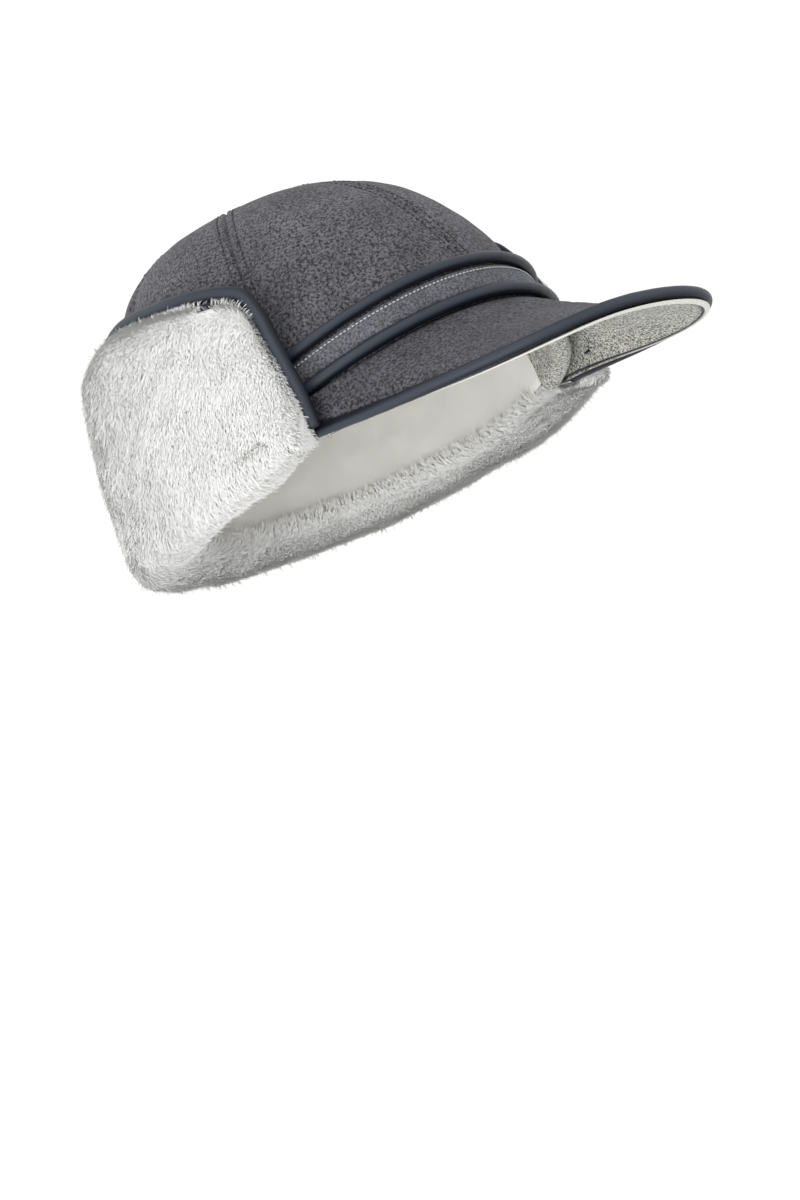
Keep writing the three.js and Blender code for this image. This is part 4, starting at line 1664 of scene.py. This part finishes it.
    def ended(self, grid: Array, back: Array) -> Array:
        """The wool's grid with its front ends rounded back to the leather by a few columns."""
        share = np.linspace(1, 0, self.end_columns + 1)[:-1, None, None]
        ends = []
        for place, beside in ((0, 1), (-1, -2)):
            ahead = unit(grid[place] - grid[beside])
            round_ = np.sin(math.pi * share) * self.end_bulge
            ends.append(mix(grid[place], back[place], share * 0.92) + ahead * round_)
        return np.concatenate([ends[0], grid, ends[1][::-1]])

    def wool_skin(self, grid: Array, back: Array) -> Skin:
        """Closed body of the wool: every second column and row of its two faces."""
        ends = self.end_columns
        back = np.concatenate([np.repeat(back[:1], ends, 0), back, np.repeat(back[-1:], ends, 0)])
        index = np.arange(len(grid))
        near_end = (index < ends) | (index >= len(grid) - ends - 1)
        columns = index[near_end | ((index - ends) % 2 == 0)]
        rows = np.append(np.arange(0, grid.shape[1] - 1, 2), grid.shape[1] - 1)
        return slab(grid[columns][:, rows], back[columns][:, rows]).marked("tipward", 1.0)

    def comb(self, front: Array, fallen: Array) -> Array:
        """Comb of the wool: down, but out over the front edges and up over the free edge."""
        side = np.where(self.columns() < math.pi, -1.0, 1.0)
        sideways = side * (0.3 * np.exp(-front / 5) + 0.1)
        down = 1 - 2.2 * np.exp(-fallen / 2.2)
        down = down * (1 - 0.3 * np.exp(-front / 6))
        away, near = self.crease(front, fallen)
        near = 0.3 * near
        sideways = sideways * (1 - near) - side * 0.5 * away * near
        down = down * (1 - near) + 0.85 * away * near
        return pile(sideways, down, 0 * down)

    def crease(self, front: Array, fallen: Array) -> tuple[Array, Array]:
        """Parting where the wool bends into the fold behind a front edge.

        Args:
            front: distance from the nearer front edge.
            fallen: distance from the top.

        Returns:
            The side of the parting, from -1 above to 1 below, and a nearness of up to 1.
        """
        share = np.clip((front - self.crease_start) / (self.crease_end - self.crease_start), 0, 1)
        line = mix(self.crease_top, self.crease_low, share)
        offset = (fallen - line) * 0.87
        beyond = np.maximum(self.crease_start - front, front - self.crease_end)
        reach = np.exp(-(np.maximum(beyond, 0) / 2.5) ** 2)
        return np.clip(offset / 1.2, -1, 1), bell(offset, 2.4) * reach

    def tabs(self) -> tuple[Skin, Skin]:
        """Small leather tab under the binding on each side, and the stud in it."""
        tabs, studs = [], []
        across = np.linspace(-1, 1, 9)[:, None]
        up = np.linspace(-1, 1, 5)[None]
        swell = np.sqrt(np.maximum(1 - np.maximum(across**4, up**4), 0))
        z = self.tab_height + 1.5 * up + 0.6 * across
        radius = np.array([1.15, 1.15, 0.8, 0.3])
        for side in (-1, 1):
            angle = side * (self.tab_angle + across * self.tab_half_angle) * DEGREE
            out = self.stand(angle, z) + self.skin_depth
            outer = self.crown.around(angle, z, out + 3.4 + swell)
            skin = slab(outer, self.crown.around(angle, z, out + 1.6))
            tabs.append(skin.marked("crest", 0.3))
            middle = outer[6, 2]
            path = middle + unit(middle * [1, 1, 0]) * np.array([[-0.8], [0.3], [0.7], [0.95]])
            studs.append(tube(path, np.tile([0, 0, 1.0], (len(path), 1)), radius, 12))
        return join(tabs), join(studs)

    def binding_path(self) -> tuple[Array, Array]:
        """Binding's middle line: up the front edge, round the corner and back along the top."""
        clear = self.binding + 2 * GAP
        ahead = clear / self.crown.mean_radius
        up = np.linspace(self.foot, self.front_height - self.corner_trim, 5)
        uprights = np.stack([np.full_like(up, self.front - ahead), up], -1)
        share = np.arange(1, 13) / 12
        angle = mix(self.front, math.pi, share**2)
        tops = np.stack([angle - ahead * (1 - share) ** 2, self.edge_height(angle) + clear], -1)
        right = np.concatenate([uprights, tops])
        left = right[-2::-1] * [-1, 1] + [TURN, 0]
        both = np.concatenate([right, left])
        stand = self.stand(both[:, 0], both[:, 1]) + self.leather / 2
        path = self.lifted(smooth_path(self.crown.around(both[:, 0], both[:, 1], stand), 10))
        ways = smooth_path(pile(-np.sin(both[:, 0]), -np.cos(both[:, 0]), 0 * stand), 10)
        return path, ways

    def binding_skin(self) -> Skin:
        """Roll along the front edges and the free edge."""
        path, ups = self.binding_path()
        uneven = self.binding * (1 + 0.03 * ripple(path, 18, 91) + 0.015 * ripple(path, 6, 92))
        return tube(path, ups, np.minimum(uneven, self.binding * 1.04))

    def weight(self, front: Array, fallen: Array) -> Array:
        """Density of the strands: half inside the fold, few at the tabs, more round the ends."""
        weight = 1 - 0.5 * ease(fallen, self.hidden_start, self.hidden_full)
        weight = weight * (1 - 0.96 * bell(front - self.tab_front, 5.5) * bell(fallen, 5))
        weight[:self.end_columns + 1] = 1.6
        weight[-self.end_columns - 1:] = 1.6
        return weight

    def fur(self, shop: Workshop, grid: Array, fields: list[Array]) -> None:
        """Makes the strands in pieces that follow each other round the flap.

        Args:
            shop: the workshop.
            grid: the body's outer face.
            fields: the comb, the weight and the painted shade at its points.
        """
        names = ("right_front", "right_back", "back", "left_back", "left_front")
        if grid[0, 0, 0] > 0:
            names = names[::-1]
        cuts = np.linspace(0, grid.shape[0] - 1, len(names) + 1).round().astype(int)
        for k, name in enumerate(names):
            part = slice(cuts[k], cuts[k + 1] + 1)
            blades = WoolField(
                count=self.blades,
                length=self.blade_length,
                width=self.blade_width,
                lean=self.blade_lean,
                seed=100 + 10 * k,
            )
            skin = blades.grow(grid[part], *(values[part] for values in fields))
            shop.piece("fur_" + name, skin, LONG_WOOL, Slot.WOOL)

    def build(self, shop: Workshop) -> None:
        """Makes the leather, the binding, the wool's body, the tabs and the strands."""
        leather = self.leather_skin()
        shop.piece("flap_inner_leather", leather, GREY_SUEDE, Slot.GREY, "flap_leather")
        shop.piece("flap_binding_roll", self.binding_skin(), NAVY_ROLL, Slot.NAVY, "flap_binding")
        grid, front, fallen = self.wool_grid()
        comb = self.comb(front, fallen)
        away, near = self.crease(front, fallen)
        # Painted shade along the crease, where the upper wool overhangs the parting.
        dark = 0.95 * near * (1 - away**2)
        back = self.back_grid(grid.shape[1])
        grid = self.ended(grid, back)
        wider = ((self.end_columns, self.end_columns), (0, 0))
        comb = np.pad(comb, (*wider, (0, 0)), mode="edge")
        front, fallen, dark = (np.pad(v, wider, mode="edge") for v in (front, fallen, dark))
        body = self.wool_skin(grid, back)
        shop.piece("flap_wool_body", body, LONG_WOOL, Slot.WOOL, "flap_wool")
        tabs, studs = self.tabs()
        shop.piece("flap_tabs", tabs, NAVY_ROLL, Slot.NAVY)
        shop.piece("flap_studs", studs, STUD_METAL, Slot.NAVY)
        fields = [comb, self.weight(front, fallen), dark]
        middle = grid[20:-20, :self.level_rows]
        if (grid_normals(middle) * outward_normals(middle, np.zeros(3))).sum() < 0:
            grid, *fields = (values[::-1] for values in (grid, *fields))
            fields[0] = fields[0] * [-1, 1, 1]
        self.fur(shop, grid, fields)


@dataclass(frozen=True)
class Studio:
    """Camera at a set place, white surroundings, a pale floor and soft lights."""

    yaw: float = 47.81
    pitch: float = 21.04
    roll: float = 11.12
    right: float = -13.16
    down: float = 74.97
    distance: float = 1866.19
    lens: float = 120.0
    sensor: float = 36.0
    floor_height: float = -0.75
    floor_half: float = 3.0
    ambient: float = 1.08
    backdrop: float = 1.05

    def axes(self) -> Array:
        """The picture's right, up and view directions as rows, in the frame's axes."""
        a, p, r = self.yaw * DEGREE, self.pitch * DEGREE, self.roll * DEGREE
        forward = np.array([math.cos(p) * math.cos(a), math.sin(p), -math.cos(p) * math.sin(a)])
        level = np.array([math.sin(a), 0, math.cos(a)])
        upright = np.array([-math.sin(p) * math.cos(a), math.cos(p), math.sin(p) * math.sin(a)])
        first = level * math.cos(r) + upright * math.sin(r)
        second = upright * math.cos(r) - level * math.sin(r)
        return np.stack([first, -forward, second], 1)

    def camera(self) -> None:
        """Adds the camera."""
        right, up, view = self.axes()
        place = (-self.right * right - self.down * up - self.distance * view) * METRE
        matrix = Matrix.Identity(4)
        for k in range(3):
            for column, axis in enumerate((right, up, -view)):
                matrix[k][column] = axis[k]
            matrix[k][3] = place[k]
        data = bpy.data.cameras.new("camera")
        data.lens = self.lens
        data.sensor_width = self.sensor
        data.clip_end = 100
        camera = bpy.data.objects.new("camera", data)
        camera.matrix_world = matrix
        bpy.context.scene.collection.objects.link(camera)
        bpy.context.scene.camera = camera

    def light(self, name: str, place: Colour, size: float, watts: float) -> None:
        """Adds a square soft light that faces the object.

        Args:
            name: name of the light.
            place: its place in metres.
            size: its side in metres.
            watts: its power.
        """
        data = bpy.data.lights.new(name, "AREA")
        data.size = size
        data.energy = watts
        light = bpy.data.objects.new(name, data)
        back = unit(np.array(place, float) - np.array([0, -0.02, 0.05]))
        side = unit(np.cross([0, 0, 1.0], back))
        above = np.cross(back, side)
        for k in range(3):
            light.matrix_world[k][0], light.matrix_world[k][1] = side[k], above[k]
            light.matrix_world[k][2], light.matrix_world[k][3] = back[k], place[k]
        bpy.context.scene.collection.objects.link(light)

    def world(self) -> None:
        """White surroundings for the camera, a little dimmer as light."""
        world = bpy.data.worlds.new("white_studio")
        world.use_nodes = True
        tree = world.node_tree
        back = tree.nodes["Background"]
        seen = tree.nodes.new("ShaderNodeBackground")
        for node, strength in ((back, self.ambient), (seen, self.backdrop)):
            node.inputs["Color"].default_value = (1, 1, 1, 1)
            node.inputs["Strength"].default_value = strength
        path = tree.nodes.new("ShaderNodeLightPath")
        both = tree.nodes.new("ShaderNodeMixShader")
        tree.links.new(path.outputs["Is Camera Ray"], both.inputs[0])
        tree.links.new(back.outputs[0], both.inputs[1])
        tree.links.new(seen.outputs[0], both.inputs[2])
        tree.links.new(both.outputs[0], tree.nodes["World Output"].inputs["Surface"])
        bpy.context.scene.world = world

    def floor(self) -> None:
        """Pale floor well below the hat."""
        half, z = self.floor_half, self.floor_height
        mesh = bpy.data.meshes.new("floor")
        corners = [(-half, -half, z), (half, -half, z), (half, half, z), (-half, half, z)]
        mesh.from_pydata(corners, [], [(0, 1, 2, 3)])
        mesh.materials.append(PaleFloor("pale_floor").build())
        floor = bpy.data.objects.new("floor", mesh)
        bpy.context.scene.collection.objects.link(floor)

    def build(self) -> None:
        """Sets up the whole studio."""
        self.camera()
        self.world()
        self.floor()
        self.light("key_light", (-1.3, -0.9, 1.5), 1.3, 9)
        self.light("fill_light", (0.9, -1.6, 0.5), 1.4, 4)
        self.light("low_light", (-1.3, -0.2, -0.4), 1.2, 15)
        bpy.context.scene.view_settings.view_transform = "Standard"


def main() -> None:
    """Builds the pieces in order."""
    logging.basicConfig(level=logging.INFO, format="%(name)s: %(message)s")
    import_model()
    Studio().build()
    shop = Workshop()
    crown = Crown()
    crown.build(shop)
    strap = Strap(crown)
    strap.build(shop)
    HeadBand(crown, strap).build(shop)
    Peak(crown, strap).build(shop)
    Flap(crown).build(shop)
    log.info("%d pieces", len(shop.made))


if __name__ == "__main__":
    main()
